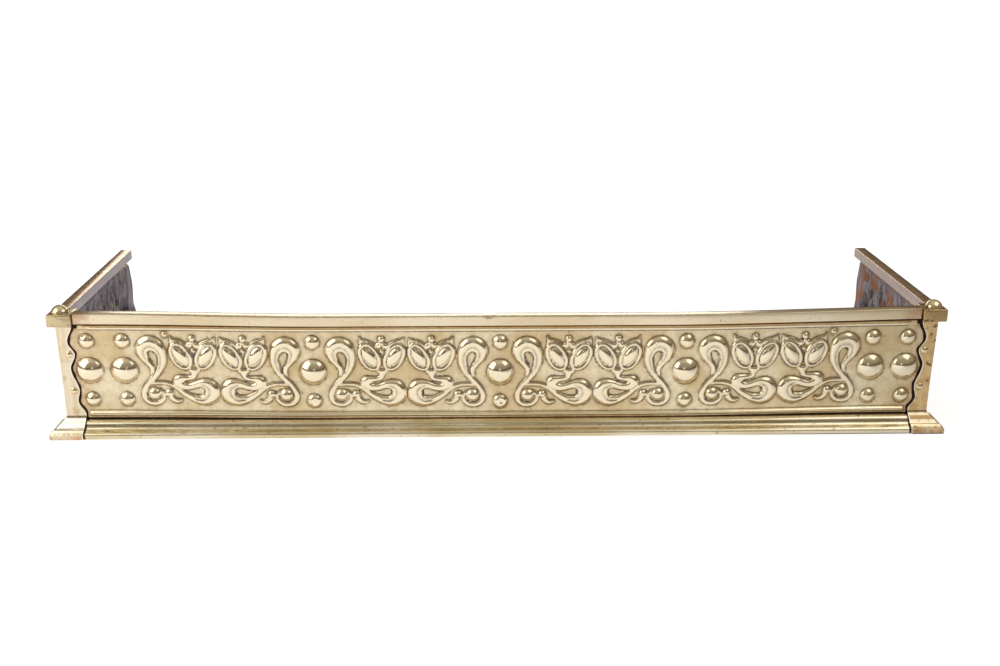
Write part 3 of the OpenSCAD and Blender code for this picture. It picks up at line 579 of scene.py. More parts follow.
def stroke_relief(u, v, knots, stepped, rise):
    """Height, inside distance and painted valley shade of one stroke. A stepped stroke, where it is broad, has a nearly
    level body that ends in a shallow valley and a rounded edge along the hole that it curls round; painted shade lies
    in the valley."""
    line = flowing(knots)
    a, step = line[:-1], np.diff(line, axis=0)
    du, dv = u[:, None] - a[:, 0], v[:, None] - a[:, 1]
    t = np.clip((du * step[:, 0] + dv * step[:, 1]) / (step[:, 0] ** 2 + step[:, 1] ** 2), 0, 1)
    width = a[:, 2] + t * step[:, 2]
    away = np.hypot(du - t * step[:, 0], dv - t * step[:, 1])
    inside = width - away
    top = rise * (1 - np.exp(-width / 6))
    # Narrow strokes have flatter tops between steeper edges
    height = top * rounded(inside, width, 2.6 + 2.6 * ease(9, 4, width))
    hollow_grime_and_shade = np.zeros_like(height)
    if stepped:
        side = np.sign(step[:, 0] * dv - step[:, 1] * du)
        from_hole, from_rim = width + side * away, width - side * away
        crest = 1.1 * width
        body = top * 1.08 * rounded(from_rim, crest, 2.7)
        body -= 0.08 * np.clip(from_rim - crest, 0, None)
        valley = bell(from_hole - (0.3 + 0.56 * width) - 0.6, 1.7)
        brink = top * 0.84 * rounded(from_hole, 2.4, 3.2)
        body = np.minimum(body, brink + 0.08 * from_hole) - 0.75 * valley
        broad = ease(3.8, 5.8, width)
        height = height + (body - height) * broad
        # Painted shade along the valley
        hollow_grime_and_shade = 0.55 * valley * broad
    best = np.arange(len(u)), inside.argmax(1)
    on = inside[best] > 0
    return np.where(on, height[best], 0), inside[best], np.where(on, hollow_grime_and_shade[best], 0)


def ball_relief(u, v, x, z, radius, high):
    """Height, inside distance and painted shade, which is none, of one ball or boss."""
    ball = (radius**2 + high**2) / (2 * high)
    away = np.hypot(u - x, v - z)
    cap = np.sqrt(np.clip(ball**2 - away**2, 0, None)) - (ball - high)
    return np.where(away < radius, cap, 0), radius - away, np.zeros_like(away)


def turned_to(u, v, middle, lean):
    """Coordinates along and across an oval with that middle, leaning to the left by lean degrees."""
    c, s = math.cos(math.radians(lean)), math.sin(math.radians(lean))
    du, dv = u - middle[0], v - middle[1]
    return -du * s + dv * c, du * c + dv * s


def pod_relief(u, v, x, z, half_l, half_w, lean):
    """Height, inside distance and painted shade of one pod: a rounded rim and a lower floor for the seed, with painted
    shade in the hollow between them.
    """
    along, across = turned_to(u, v, (x, z), lean)
    rho = np.hypot(along / half_l, across / half_w) + 1e-9
    grade = np.hypot(along / half_l**2, across / half_w**2) / rho + 1e-9
    inside = (1 - rho) / grade
    rim = 4.2 * np.sin(math.pi * np.clip(inside / 8, 0, 1) ** 0.8)
    floor = 2.6 * ease(0, 4, inside)
    # The hollow where the rim falls to the floor carries painted shade
    return np.where(inside > 0, np.maximum(rim, floor), 0), inside, 0.75 * bell(inside - 6.2, 1.1)


def seed_relief(u, v, x, z, half_l, half_w, lean):
    """Height of one seed, which has no outline of its own."""
    along, across = turned_to(u, v, (x, z), lean)
    end = np.clip(1 - (along / half_l) ** 2, 0, 1)
    q = np.clip(np.abs(across) / (half_w * end**0.68 + 1e-6), 0, 1)
    high = np.where(end > 0, 2.0 + 5.2 * end**0.55 * np.sqrt(1 - q * q), 0) * (q < 1)
    return high, np.full_like(u, FAR), 0.0


def motif_relief(u, v):
    """Height, inside distance and painted shade of one motif at points in millimetres."""
    u = -np.abs(u)
    height, inside, hollow_grime_and_shade = np.zeros_like(u), np.full_like(u, FAR), np.zeros_like(u)
    rise = sizes().scroll_rise / MM
    for h, e, g in (
        *(stroke_relief(u, v, knots, stepped, rise * share) for knots, stepped, share in STROKES),
        *(pod_relief(u, v, *pod) for pod in PODS),
        *(seed_relief(u, v, *seed) for seed in SEEDS),
        *(ball_relief(u, v, *ball) for ball in BALLS),
    ):
        hollow_grime_and_shade = np.where(h >= height, np.where(e > 0, g, hollow_grime_and_shade), hollow_grime_and_shade)
        height, inside = np.maximum(height, h), np.maximum(inside, e)
    return height, inside, hollow_grime_and_shade


def between(value, ends, soft):
    """Share that is 1 between the ends and falls to 0 over the soft length inside each."""
    return ease(ends[0], ends[0] + soft, value) * (1 - ease(ends[1] - soft, ends[1], value))


def panel_relief(x, z, columns, motifs, low_bead, top_bead, dents=(), heads=()):
    """Height of the whole panel above its flat face with the masks of its rubbed relief and of its polish and painted
    shade, all at points in millimetres.
    """
    row = sizes().row / MM
    height, inside, hollow_grime_and_shade = np.zeros_like(x), np.full_like(x, FAR), np.zeros_like(x)
    for middle in motifs:
        near = np.abs(x - middle) < MOTIF_HALF
        for whole, part in zip((height, inside, hollow_grime_and_shade), motif_relief(x[near] - middle, z[near] - row)):
            whole[near] = np.maximum(whole[near], part)
    for middle in columns:
        near = np.abs(x - middle) < BOSS_ROOM
        for level, radius, high in BOSSES:
            parts = ball_relief(x[near], z[near], middle, row + level, radius, high)
            for whole, part in zip((height, inside), parts):
                whole[near] = np.maximum(whole[near], part)
    # Soft shoulder where the sheet stretched round each raised form
    height += np.where(inside < 0, 0.5 * np.exp(inside / 1.3), 0.5 * np.exp(-inside / 4))
    for at_x, at_z in heads:
        inside = np.maximum(inside, 5.2 - np.hypot(x - at_x / MM, z - at_z / MM))
    for at_x, at_z, reach, deep in dents:
        height -= deep * np.exp(-((x - at_x) ** 2 + (z - at_z) ** 2) / reach**2)
    low, top = between(x, low_bead, 6), between(x, top_bead, 16)
    height += 3.7 * low * np.cos(math.pi / 2 * np.clip((z - LOW_BEAD_Z) / 5.6, -1, 1)) ** 2
    height += 2.5 * top * np.sqrt(np.clip(1 - ((z - TOP_BEAD_Z) / 2.7) ** 4, 0, 1))
    # Dark line at each form's foot: polish left in the crease, and painted shade there
    outline = 0.95 * bell(inside + 0.9, 1.05)
    # Painted shade: a soft dark halo round each form, where the ground slopes up to it
    halo = 0.36 * np.exp(np.minimum(inside, 0) / 5) * (inside < 0)
    # Painted shade under the top bead and above the low bead
    beads = np.maximum(0.8 * bell(z - 165.6, 0.8), 0.6 * bell(z - 39.8, 0.9))
    return height, ease(0.8, 3.2, height), np.max([outline, halo, hollow_grime_and_shade, beads], 0)


def graded(zones):
    """Grid lines over zones of (start, end, step), an even number of cells in each."""
    lines = [np.array([zones[0][0]])]
    for start, end, step in zones:
        count = 2 * max(1, round((end - start) / step / 2))
        lines.append(np.linspace(start, end, count + 1)[1:])
    return np.concatenate(lines)


def strap_reach(z):
    """Reach of the strap's wavy free edge along the run, at heights in millimetres."""
    heights = [0, 33, 54, 70.5, 105, 128, 147, 173]
    reaches = [28.1, 29.6, 20.3, 23.8, 15.2, 23.8, 15.2, 23.8]
    i = np.clip(np.searchsorted(heights, z, side="right") - 1, 0, len(heights) - 2)
    low, high = np.take(heights, i), np.take(heights, i + 1)
    t = np.clip((z - low) / (high - low), 0, 1)
    return np.take(reaches, i) + (np.take(reaches, i + 1) - np.take(reaches, i)) * (1 - np.cos(math.pi * t)) / 2


def strap_shade(run, x, z):
    """Painted shadow and grime along a strap's free edge, and painted shade in the joints: above one half black, below
    it a brown cast further out.
    """
    from_corner = WIDTH / MM / 2 - np.abs(x) if run == "front" else x
    beyond = from_corner - sizes().strap_inset / MM - strap_reach(z)
    wander = 1.0 * np.sin(z / 8.5 + 0.6 * (x > 0)) * np.sin(z / 4.3 + 1) + 0.7 * (x > 0)
    # Black just beyond the free edge: painted shadow of the strap's edge, with grime
    black = ease(4.8, 2.4, beyond - wander)
    # Painted shade in the dark gap where the top bead ends under the rail
    notch_shade = ease(166.6, 168.4, z) * ease(9.5, 7, beyond)
    # Painted shade in the joints' gaps under the rail and above the plinth, thinner and browner towards the middle
    near_end = ease(430, 180, from_corner)
    joints = np.maximum(ease(171.6, 172.6, z), ease(27.4 + near_end, 26.2 + near_end, z)) * (0.82 + 0.18 * near_end)
    return np.max([0.5 * np.exp(-np.clip(beyond, 0, None) / 8), black, notch_shade, joints], 0)


def turn_outwards(mesh):
    """Recalculates the normals of a closed mesh after its points were placed."""
    bm = bmesh.new()
    bm.from_mesh(mesh)
    bmesh.ops.recalc_face_normals(bm, faces=bm.faces)
    bm.to_mesh(mesh)
    bm.free()
    mesh.update()


def press_panel(name, run, x_lines, neck, **ornament):
    """Pressed sheet with its ornament and the same relief sunk into its back, reaching up under the rail. Only in its
    neck, between the caps, does it reach above the caps' lower faces."""
    cell = sizes().cell / MM
    z_lines = graded([
        (1.2, 24, 12), (24, 39, 1.25), (39, 160, cell * 1.03), (160, 166, 2), (166, 173, 0.9), (173, 176, 1.5),
    ])
    bm = bmesh.new()
    bmesh.ops.create_grid(bm, x_segments=len(x_lines) - 1, y_segments=len(z_lines) - 1, size=0.5)
    # The back has a third of the front's lines, because its relief is only seen dimly
    back = bmesh.ops.create_grid(
        bm, x_segments=(len(x_lines) - 1) // 3, y_segments=(len(z_lines) - 1) // 3, size=0.5
    )["verts"]
    bmesh.ops.translate(bm, verts=back, vec=(0, 0, -1))
    for face in {f for v in back for f in v.link_faces}:
        face.material_index = 1
    bmesh.ops.bridge_loops(bm, edges=[e for e in bm.edges if e.is_boundary])
    mesh = piece(name, bm, [pressed_sheet_brass, sooted_back_brass]).data
    points = read_points(mesh)
    x = np.interp(points[:, 0], np.linspace(-0.5, 0.5, len(x_lines)), x_lines)
    z = np.interp(points[:, 1], np.linspace(-0.5, 0.5, len(z_lines)), z_lines)
    behind = points[:, 2] < -0.5
    height, raised, hollow_grime_and_shade = panel_relief(x, z, **ornament)
    z = np.where((x > neck[0]) & (x < neck[1]), z, np.minimum(z, CAP_LOW.z / MM))
    inset = sizes().panel_inset / MM + np.where(behind, sizes().sheet / MM - 0.92 * height, -height)
    write_points(mesh, worn(placed(run, x * MM, inset * MM, z * MM)))
    # Rubbing in red, polish and painted shade in green, painted shadow and grime by the straps and joints in blue
    wear_and_painted_light = mesh.color_attributes.new("wear_and_painted_light", "FLOAT_COLOR", "POINT")
    rgba = np.stack([raised, hollow_grime_and_shade, strap_shade(run, x, z), np.ones_like(x)], 1)
    wear_and_painted_light.data.foreach_set("color", rgba.astype(np.float32).ravel())
    mesh.set_sharp_from_angle(angle=math.radians(70))
    turn_outwards(mesh)


def fixing_places():
    """Places (x, height) of the two small round heads on the front, slightly right of and above the CAD's."""
    low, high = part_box("panel_fixings")
    z = (low.z + high.z) / 2 + 1.5 * MM
    return [(x + 1.4 * MM, z) for x in (low.x + 4.3 * MM, high.x - 4.3 * MM)]


class FENDER_OT_press_panels(bpy.types.Operator):
    """Press the front and side panels with their bosses, scrolls, pods and beads"""

    bl_idname = "fender.press_panels"
    bl_label = "Press the panels"

    def execute(self, context):
        cell = sizes().cell / MM
        half, depth = WIDTH / MM / 2, DEPTH / MM
        cap_end = (cap_reach() + WIDTH / 2) / MM
        # Coarse under the straps, fine in the ornament and finest along the straps' edges
        face, hidden, edge = half - sizes().panel_inset / MM, half - 37, half - 57
        lines = graded([
            (-face, -hidden, 4.5), (-hidden, -edge, 1.25), (-edge, edge, cell), (edge, hidden, 1.25),
            (hidden, face, 4.5),
        ])
        pair = half - COLUMN_IN - COLUMN_STEP
        pitch = 2 * pair / 4
        low, top = half - LOW_BEAD_IN, half - TOP_BEAD_IN
        press_panel(
            "front_panel", "front", lines, (cap_end - half, half - cap_end),
            columns=[-half + COLUMN_IN, *[-pair + i * pitch for i in range(5)], half - COLUMN_IN],
            motifs=[-pair + (i + 0.5) * pitch for i in range(4)],
            low_bead=(-low, low), top_bead=(-top, top), dents=DENTS, heads=fixing_places(),
        )
        last = depth - COLUMN_BACK
        middle = (COLUMN_IN + last) / 2
        start, scrolls = sizes().panel_inset / MM + sizes().sheet / MM, 119.5
        lines = graded([
            (start, middle - scrolls, 1.9), (middle - scrolls, middle + scrolls, cell * 0.8),
            (middle + scrolls, depth, 1.9),
        ])
        # The side panels' beads run off their free ends
        for side in SIDES:
            press_panel(
                "side_panel_" + side, side, lines, (cap_end, depth + 1), columns=[COLUMN_IN, last], motifs=[middle],
                low_bead=(LOW_BEAD_IN, depth + 30), top_bead=(TOP_BEAD_IN, depth + 40),
            )
        return {"FINISHED"}


# ---- Rails, plinth and straps ----


def cap_reach():
    """Place along X of the left cap's inner face, which the front rail butts against."""
    return CAP_LOW.x + sizes().cap


def round_edges(bm, edges, radius, segments):
    bmesh.ops.bevel(
        bm, geom=edges, offset=radius, offset_type="OFFSET", segments=segments, profile=0.5,
        affect="EDGES", material=-1,
    )


class FENDER_OT_draw_rails(bpy.types.Operator):
    """Draw the square top rails, with the front one sagged and dented"""

    bl_idname = "fender.draw_rails"
    bl_label = "Draw the rails"

    def execute(self, context):
        cap_end = cap_reach() + WIDTH / 2
        self.rail("front_rail", "front", cap_end - WIDTH / 2, WIDTH / 2 - cap_end)
        for side in SIDES:
            self.rail("side_rail_" + side, side, cap_end, DEPTH)
        return {"FINISHED"}

    def rail(self, name, run, start, end):
        bm = bmesh.new()
        bmesh.ops.create_cube(bm, size=1.0)
        bmesh.ops.scale(bm, vec=(end - start, RAIL_WIDTH, RAIL_TOP - RAIL_FOOT), verts=bm.verts)
        ends = [f for f in bm.faces if abs(f.normal.x) > 0.9]
        bmesh.ops.delete(bm, geom=ends, context="FACES_ONLY")
        round_edges(bm, self.long_edges(bm), 1.1 * MM, 3)
        cuts = round((end - start) / (5 * MM))
        bmesh.ops.subdivide_edges(bm, edges=self.long_edges(bm), cuts=cuts, use_grid_fill=True)
        bmesh.ops.recalc_face_normals(bm, faces=bm.faces)
        bmesh.ops.solidify(bm, geom=everything(bm), thickness=sizes().rail_wall)
        mesh = piece(name, bm, [drawn_tube_brass], 35).data
        points = read_points(mesh)
        x = points[:, 0] + (start + end) / 2
        inset = points[:, 1] + RAIL_IN + RAIL_WIDTH / 2
        z = points[:, 2] + (RAIL_TOP + RAIL_FOOT) / 2
        if run == "front":
            # Notch knocked into the top front edge a little left of the middle
            notch_x = -0.0165
            edge = np.hypot(inset - RAIL_IN, z - RAIL_TOP) / MM
            knock = bell(x - notch_x, 3.2 * MM) * bell(edge, 5)
            inset += 1.6 * MM * knock
            z -= 2.4 * MM * knock
        write_points(mesh, worn(placed(run, x, inset, z)))
        turn_outwards(mesh)

    def long_edges(self, bm):
        return [e for e in bm.edges if abs(e.verts[0].co.x - e.verts[1].co.x) > 10 * MM]


def plinth_section():
    """Path of the plinth's sheet in millimetres: flange, lip, then two rounds with hollows between them."""
    rounds = [
        (1.5, 4.8), (1.7, 6.4), (3.7, 8.8), (7, 10.6), (10.4, 12), (13, 14.6), (13.9, 17), (14.7, 19.3), (17, 21.8),
        (20.4, 23.4), (24.1, PLINTH_TOP / MM),
    ]
    return [(37.1, 0), (24, 0), (2.2, 0), (1.6, 0.5), (1.5, 1.2), *flowing(rounds, 4)]


def foot_section():
    """Path of the corner strap from the hearth up to the cap: lip, round, hollow slope and upright, in millimetres."""
    strap = sizes().strap_inset / MM
    slope = [
        (0, 6.4), (1.8, 8.9), (3.5, 11.2), (5.4, 13), (7, 13.9), (8.4, 14.3), (10.8, 16.3), (15, 20.6), (18.6, 24),
        (20.8, 26.5), (22, 28.7), (strap, 30.6),
    ]
    return [(0, 0), (0, 2.5), *flowing(slope, 3), *[(strap, z) for z in np.linspace(31.6, CAP_LOW.z / MM, 60)]]


def formed_sheet(columns, path):
    """Grid with a row for each point of the path; u runs from 0 to 1 along it in x."""
    bm = bmesh.new()
    bmesh.ops.create_grid(bm, x_segments=columns, y_segments=len(path) - 1, size=0.5)
    spot = np.array(path)
    rows = np.linspace(-0.5, 0.5, len(path))
    flat = np.array([v.co for v in bm.verts], np.float64)
    inset, z = (np.interp(flat[:, 1], rows, spot[:, i]) * MM for i in (0, 1))
    return bm, flat[:, 0] + 0.5, inset, z


def set_points(bm, points):
    for vert, point in zip(bm.verts, points):
        vert.co = point


def thicken(bm, thickness, towards):
    """Gives a formed sheet its wall, on the side away from the given outward direction."""
    bmesh.ops.recalc_face_normals(bm, faces=bm.faces)
    bm.normal_update()
    mean = sum((f.normal * f.calc_area() for f in bm.faces), Vector())
    if mean.dot(towards) < 0:
        bmesh.ops.reverse_faces(bm, faces=bm.faces)
    bm.normal_update()
    bmesh.ops.solidify(bm, geom=everything(bm), thickness=thickness)


class FENDER_OT_roll_plinth(bpy.types.Operator):
    """Roll the stepped plinth in three lengths, mitred at the front corners"""

    bl_idname = "fender.roll_plinth"
    bl_label = "Roll the plinth"

    def execute(self, context):
        for run, cells, outward in (
            ("front", 160, (0, -1, 0.3)), ("left", 40, (-1, 0, 0.3)), ("right", 40, (1, 0, 0.3))
        ):
            bm, u, inset, z = formed_sheet(cells, plinth_section())
            if run == "front":
                x = (2 * u - 1) * (WIDTH / 2 - inset)
            else:
                x = inset + u * (DEPTH - inset)
            set_points(bm, worn(placed(run, x, inset, z)))
            thicken(bm, sizes().plinth_sheet, Vector(outward))
            piece("plinth_" + run, bm, [rolled_moulding_brass], 50)
        return {"FINISHED"}


class FENDER_OT_fold_straps(bpy.types.Operator):
    """Fold the corner straps with their wavy edges and moulded feet"""

    bl_idname = "fender.fold_straps"
    bl_label = "Fold the corner straps"

    def execute(self, context):
        for side, sign in SIDES.items():
            bm, u, inset, z = formed_sheet(14, foot_section())
            edge = sizes().strap_inset + strap_reach(z / MM) * MM
            # Rounded fold, with a larger round at the foot's lip
            fold = (0.9 + 2.1 * ease(16 * MM, 9 * MM, z)) * MM
            # Columns lie closer together towards the fold
            along = np.minimum(1.08 * u**1.7, 1) * (edge - inset)
            turn = math.pi / 4 * np.clip(1 - along / fold, 0, 1)
            x = inset + np.where(along < fold, fold * (1 - np.sin(turn)), along)
            y = inset + np.where(along < fold, fold * (1 - np.cos(turn)), 0)
            set_points(bm, np.stack([sign * (WIDTH / 2 - x), y + CAD_LOW.y, z], 1))
            # The other leg is the first one mirrored about the fold
            other = bmesh.ops.duplicate(bm, geom=everything(bm))["geom"]
            for vert in (g for g in other if isinstance(g, bmesh.types.BMVert)):
                run_x = WIDTH / 2 - sign * vert.co.x
                run_y = vert.co.y - CAD_LOW.y
                vert.co.x = sign * (WIDTH / 2 - run_y)
                vert.co.y = run_x + CAD_LOW.y
            bmesh.ops.remove_doubles(bm, verts=bm.verts, dist=0.02 * MM)
            thicken(bm, sizes().strap_sheet, Vector((sign, -1, 0.3)))
            bmesh.ops.recalc_face_normals(bm, faces=bm.faces)
            sharp = [
                e for e in bm.edges
                if len(e.link_faces) == 2 and e.calc_face_angle() > math.radians(60)
                and all(1 * MM < v.co.z < CAP_LOW.z - 1 * MM for v in e.verts)
            ]
            round_edges(bm, sharp, 0.55 * MM, 2)
            points = np.array([v.co for v in bm.verts])
            run = np.maximum(WIDTH / 2 - np.abs(points[:, 0]), points[:, 1] - CAD_LOW.y)
            # Painted highlight within a millimetre of the free edge, where it is also rubbed
            free = (sizes().strap_inset - run) / MM + strap_reach(points[:, 2] / MM)
            rubbed = bm.verts.layers.float_color.new("wear_and_painted_light")
            for vert, share in zip(bm.verts, ease(1.3, 0.5, free)):
                vert[rubbed] = (share, share, share, 1)
            set_points(bm, worn(points))
            piece("corner_strap_" + side, bm, [folded_strap_brass], 21)
        return {"FINISHED"}


# ---- Caps, domes and rivets ----


def turned(bm, profile, steps, place):
    """Turns a profile of (radius, height) in millimetres round +Z and moves it by the matrix."""
    verts = [bm.verts.new((r * MM, 0, h * MM)) for r, h in profile]
    edges = [bm.edges.new(pair) for pair in zip(verts, verts[1:])]
    bmesh.ops.spin(
        bm, geom=verts + edges, cent=(0, 0, 0), axis=(0, 0, 1), angle=2 * math.pi, steps=steps, use_merge=True
    )
    made = list({v for f in bm.faces if not f.tag for v in f.verts})
    bmesh.ops.remove_doubles(bm, verts=made, dist=0.001 * MM)
    made = list({v for f in bm.faces if not f.tag for v in f.verts})
    bmesh.ops.transform(bm, matrix=place, verts=made)
    for face in bm.faces:
        face.tag = True


def dome_profile(radius, rise, lip):
    """Domed head: flat underside, a short upright lip and a round top."""
    ball = (radius**2 + (rise - lip) ** 2) / (2 * (rise - lip))
    spread = math.degrees(math.asin(min(1, radius / ball)))
    angles = np.radians(np.linspace(90 - spread, 90, 13))[:-1]
    top = [(ball * math.cos(a), rise - ball + ball * math.sin(a)) for a in angles]
    return [(0, 0), (radius - 0.2, 0), (radius, 0.2), *top, (0, rise)]


def tail_profile(grip):
    """Shank through what the rivet grips, and its clenched tail."""
    return [(0, 0), (2, 0), (2, grip), (3.3, grip), (3.0, grip + 1.2), (0, grip + 1.4)]


class FENDER_OT_cast_caps(bpy.types.Operator):
    """Cast the square corner caps with softly rounded edges"""

    bl_idname = "fender.cast_caps"
    bl_label = "Cast the corner caps"

    def execute(self, context):
        for side, sign in SIDES.items():
            size = Vector((sizes().cap, sizes().cap, RAIL_TOP - CAP_LOW.z))
            middle = Vector(
                (sign * abs(CAP_LOW.x + size.x / 2), CAP_LOW.y + size.y / 2, (RAIL_TOP + CAP_LOW.z) / 2)
            )
            bm = bmesh.new()
            bmesh.ops.create_cube(bm, size=1.0, matrix=Matrix.Translation(middle) @ Matrix.Diagonal((*size, 1)))
            round_edges(bm, bm.edges[:], 2.1 * MM, 4)
            set_points(bm, worn(np.array([v.co for v in bm.verts]), leaning=False))
            piece("corner_cap_" + side, bm, [cast_cap_brass], 40)
        return {"FINISHED"}


class FENDER_OT_turn_domes(bpy.types.Operator):
    """Turn the domed nuts on the caps"""

    bl_idname = "fender.turn_domes"
    bl_label = "Turn the domed nuts"

    def execute(self, context):
        radius = (DOME_HIGH.x - DOME_LOW.x) / 2 / MM
        rise = (DOME_HIGH.z - DOME_LOW.z) / MM
        for side, sign in SIDES.items():
            low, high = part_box("dome_nut_" + side)
            spot = Vector(worn(np.array([[(low.x + high.x) / 2, (low.y + high.y) / 2, low.z]]))[0])
            # The nuts sit as far outwards as the straps lean
            spot.x += sign * sizes().lean
            bm = bmesh.new()
            turned(bm, dome_profile(radius, rise, 0.8), 48, Matrix.Translation(spot))
            piece("dome_nut_" + side, bm, [turned_brass], 60)
        return {"FINISHED"}


class FENDER_OT_head_rivets(bpy.types.Operator):
    """Head the rivets of the straps and the two small fixings of the front panel"""

    bl_idname = "fender.head_rivets"
    bl_label = "Head the rivets"

    def execute(self, context):
        along, face = RIVET_IN * MM, sizes().strap_inset
        out_front = Matrix.Rotation(math.pi / 2, 4, "X")
        for side, sign in SIDES.items():
            out_side = Matrix.Rotation(sign * math.pi / 2, 4, "Y")
            bm = bmesh.new()
            for level in RIVET_LEVELS:
                front = Vector((sign * (WIDTH / 2 - along), CAD_LOW.y + face, level * MM))
                flank = Vector((sign * (WIDTH / 2 - face), CAD_LOW.y + along, level * MM))
                for spot, outwards in ((front, out_front), (flank, out_side)):
                    self.rivet(bm, spot, outwards, dome_profile(5.5, 3.2, 0.5), 32, 4.5)
            piece("strap_rivets_" + side, bm, [turned_brass], 60)
        bm = bmesh.new()
        for x, z in fixing_places():
            spot = (x, CAD_LOW.y + sizes().panel_inset, z)
            self.rivet(bm, spot, out_front, dome_profile(4.8, 3.3, 0.4), 28, 1)
        piece("panel_fixings", bm, [turned_brass], 60)
        return {"FINISHED"}

    def rivet(self, bm, spot, outwards, head, steps, grip):
        """Head on the face at the spot, and behind it the shank and tail."""
        place = Matrix.Translation(worn(np.array([spot]))[0]) @ outwards
        turned(bm, head, steps, place)
        turned(bm, tail_profile(grip), 24, place @ Matrix.Rotation(math.pi, 4, "X"))


class FENDER_OT_finish_frame(bpy.types.Operator):
    """Give the iron base frame and its screws their finishes"""

    bl_idname = "fender.finish_frame"
    bl_label = "Finish the iron frame"

    def execute(self, context):
        iron = ("base_bar", "corner_plate", "corner_angle", "tie_rod")
        steel = ("plate_screws", "base_bolts", "base_nuts", "plinth_screws")
        for name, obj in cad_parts.items():
            for starts, make in ((iron, black_iron), (steel, steel_fasteners)):
                if name.startswith(starts):
                    obj.data.materials.clear()
                    obj.data.materials.append(finish(make))
        return {"FINISHED"}


# ---- Studio ----

# Softboxes: name, place, aim, size, radiance
SOFTBOXES = [
    ("left_box", (-1.65, -0.7, 1.05), (-0.25, -0.1, 0.1), (1.5, 1.5), 1.6),
    ("right_box", (1.45, -0.55, 1.9), (0.15, -0.1, 0.1), (2.0, 1.2), 1.1),
    ("front_box", (-0.05, -2.35, 0.66), (0, 0, 0.1), (0.32, 0.2), 2.2),
    ("back_box", (-0.2, 2.0, 0.86), (-0.2, 0, 0.2), (2.07, 0.45), 2.5),
]
# Colours of the dim room from below to above
ROOM = [(0.0, "#66584A"), (0.12, "#5C5246"), (0.35, "#928A79"), (0.7, "#9E9888"), (1.0, "#D0CDC0")]
# Camera fitted to the photograph: place, then pitch down, turn to the right and roll in degrees, then its lens
CAMERA_PLACE = (-0.0391, -1.8615, 0.7217)
CAMERA_TURNS = (18.4674, 1.3172, 0.0959)
SENSOR_MM, FOCAL_SHARE = 36.0, 1200 / 1000


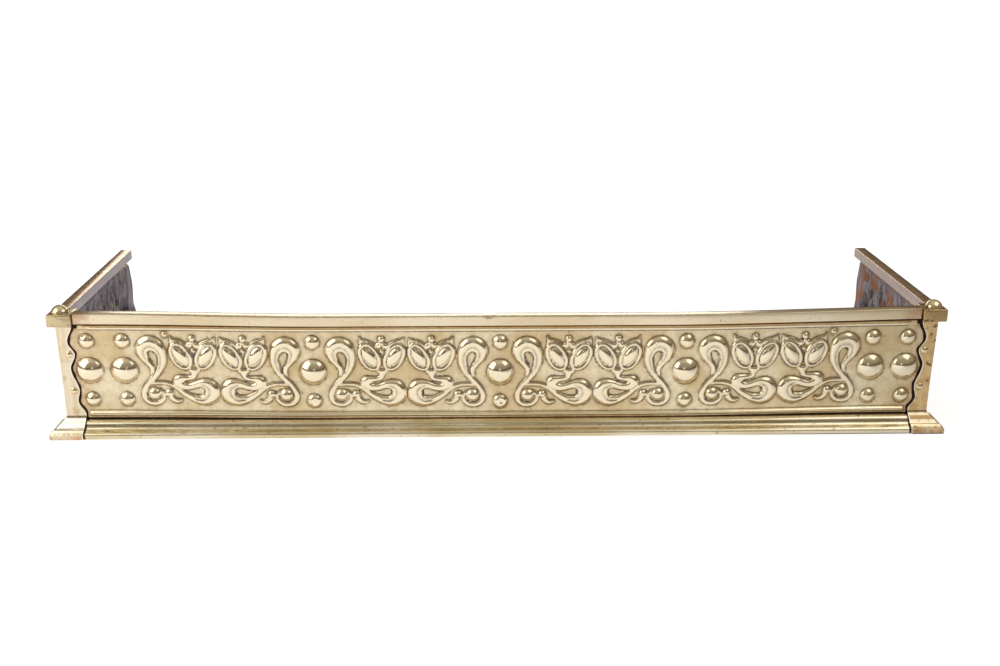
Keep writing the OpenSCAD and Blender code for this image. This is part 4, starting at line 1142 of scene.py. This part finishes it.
class FENDER_OT_set_stage(bpy.types.Operator):
    """Lay the floor and set the lamps, the world and the camera"""

    bl_idname = "fender.set_stage"
    bl_label = "Set the stage"

    def execute(self, context):
        bm = bmesh.new()
        bmesh.ops.create_grid(bm, x_segments=2, y_segments=2, size=30)
        mesh = bpy.data.meshes.new("floor")
        bm.to_mesh(mesh)
        bm.free()
        mesh.materials.append(finish(studio_floor))
        floor = link("floor", mesh)
        floor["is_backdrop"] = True
        self.world()
        for box in SOFTBOXES:
            self.softbox(*box)
        self.camera()
        context.scene.view_settings.view_transform = "Standard"
        return {"FINISHED"}

    def world(self):
        """Dim room, and plain white where the camera sees past the floor."""
        world = bpy.data.worlds.new("studio")
        bpy.context.scene.world = world
        world.use_nodes = True
        tree = world.node_tree
        up = add(tree, "SeparateXYZ", [add(tree, "TexCoord", out="Generated")], "Z")
        room = add(tree, "ValToRGB", [up], "Color")
        stops = room.node.color_ramp.elements
        while len(stops) < len(ROOM):
            stops.new(0.5)
        for stop, (at, code) in zip(stops, ROOM):
            stop.position, stop.color = at, linear(code)
        rays = add(tree, "LightPath", out=None)
        soft = layer(tree, room, [0.5, 0.5, 0.5, 1.0], rays["Is Diffuse Ray"])
        seen = layer(tree, soft, linear("#FFFFFF"), rays["Is Camera Ray"])
        tree.links.new(seen, tree.nodes["Background"].inputs["Color"])

    def softbox(self, name, spot, aim, size, radiance):
        """Area lamp whose face has the given radiance, where 1 shows as white."""
        lamp = bpy.data.lights.new(name, "AREA")
        lamp.shape = "RECTANGLE"
        lamp.size, lamp.size_y = size
        lamp.energy = radiance * math.pi * size[0] * size[1]
        obj = link(name, lamp)
        away = Vector(spot) - Vector(aim)
        obj.matrix_world = Matrix.Translation(spot) @ away.to_track_quat("Z", "Y").to_matrix().to_4x4()
        obj.visible_camera = False

    def camera(self):
        """Camera at the photograph's view."""
        pitch, turn, roll = (math.radians(a) for a in CAMERA_TURNS)
        ahead = Vector((math.sin(turn) * math.cos(pitch), math.cos(turn) * math.cos(pitch), -math.sin(pitch)))
        level = Vector((math.cos(turn), -math.sin(turn), 0))
        above = level.cross(ahead)
        right = math.cos(roll) * level + math.sin(roll) * above
        top = -math.sin(roll) * level + math.cos(roll) * above
        data = bpy.data.cameras.new("camera")
        data.sensor_fit = "HORIZONTAL"
        data.sensor_width = SENSOR_MM
        data.lens = SENSOR_MM * FOCAL_SHARE
        obj = link("camera", data)
        obj.matrix_world = Matrix.Translation(CAMERA_PLACE) @ Matrix((right, top, -ahead)).transposed().to_4x4()
        bpy.context.scene.camera = obj


STEPS = [
    FENDER_OT_press_panels, FENDER_OT_draw_rails, FENDER_OT_roll_plinth, FENDER_OT_fold_straps, FENDER_OT_cast_caps,
    FENDER_OT_turn_domes, FENDER_OT_head_rivets, FENDER_OT_finish_frame, FENDER_OT_set_stage,
]


class FENDER_PT_sidebar(bpy.types.Panel):
    """Lists the steps that build the fender"""

    bl_idname = "FENDER_PT_sidebar"
    bl_label = "Fire fender"
    bl_space_type = "VIEW_3D"
    bl_region_type = "UI"
    bl_category = "Fender"

    def draw(self, context):
        for step in STEPS:
            self.layout.operator(step.bl_idname)
        for group in (context.scene.fender_sizes, context.scene.fender_colours):
            box = self.layout.box()
            for name in type(group).__annotations__:
                box.prop(group, name)


CLASSES = [FenderSizes, FenderColours, *STEPS, FENDER_PT_sidebar]


def register():
    for made in CLASSES:
        bpy.utils.register_class(made)
    bpy.types.Scene.fender_sizes = bpy.props.PointerProperty(type=FenderSizes)
    bpy.types.Scene.fender_colours = bpy.props.PointerProperty(type=FenderColours)


def unregister():
    del bpy.types.Scene.fender_colours
    del bpy.types.Scene.fender_sizes
    for made in reversed(CLASSES):
        bpy.utils.unregister_class(made)


def main():
    register()
    bpy.ops.fender.press_panels()
    bpy.ops.fender.draw_rails()
    bpy.ops.fender.roll_plinth()
    bpy.ops.fender.fold_straps()
    bpy.ops.fender.cast_caps()
    bpy.ops.fender.turn_domes()
    bpy.ops.fender.head_rivets()
    bpy.ops.fender.finish_frame()
    bpy.ops.fender.set_stage()


if __name__ == "__main__":
    main()
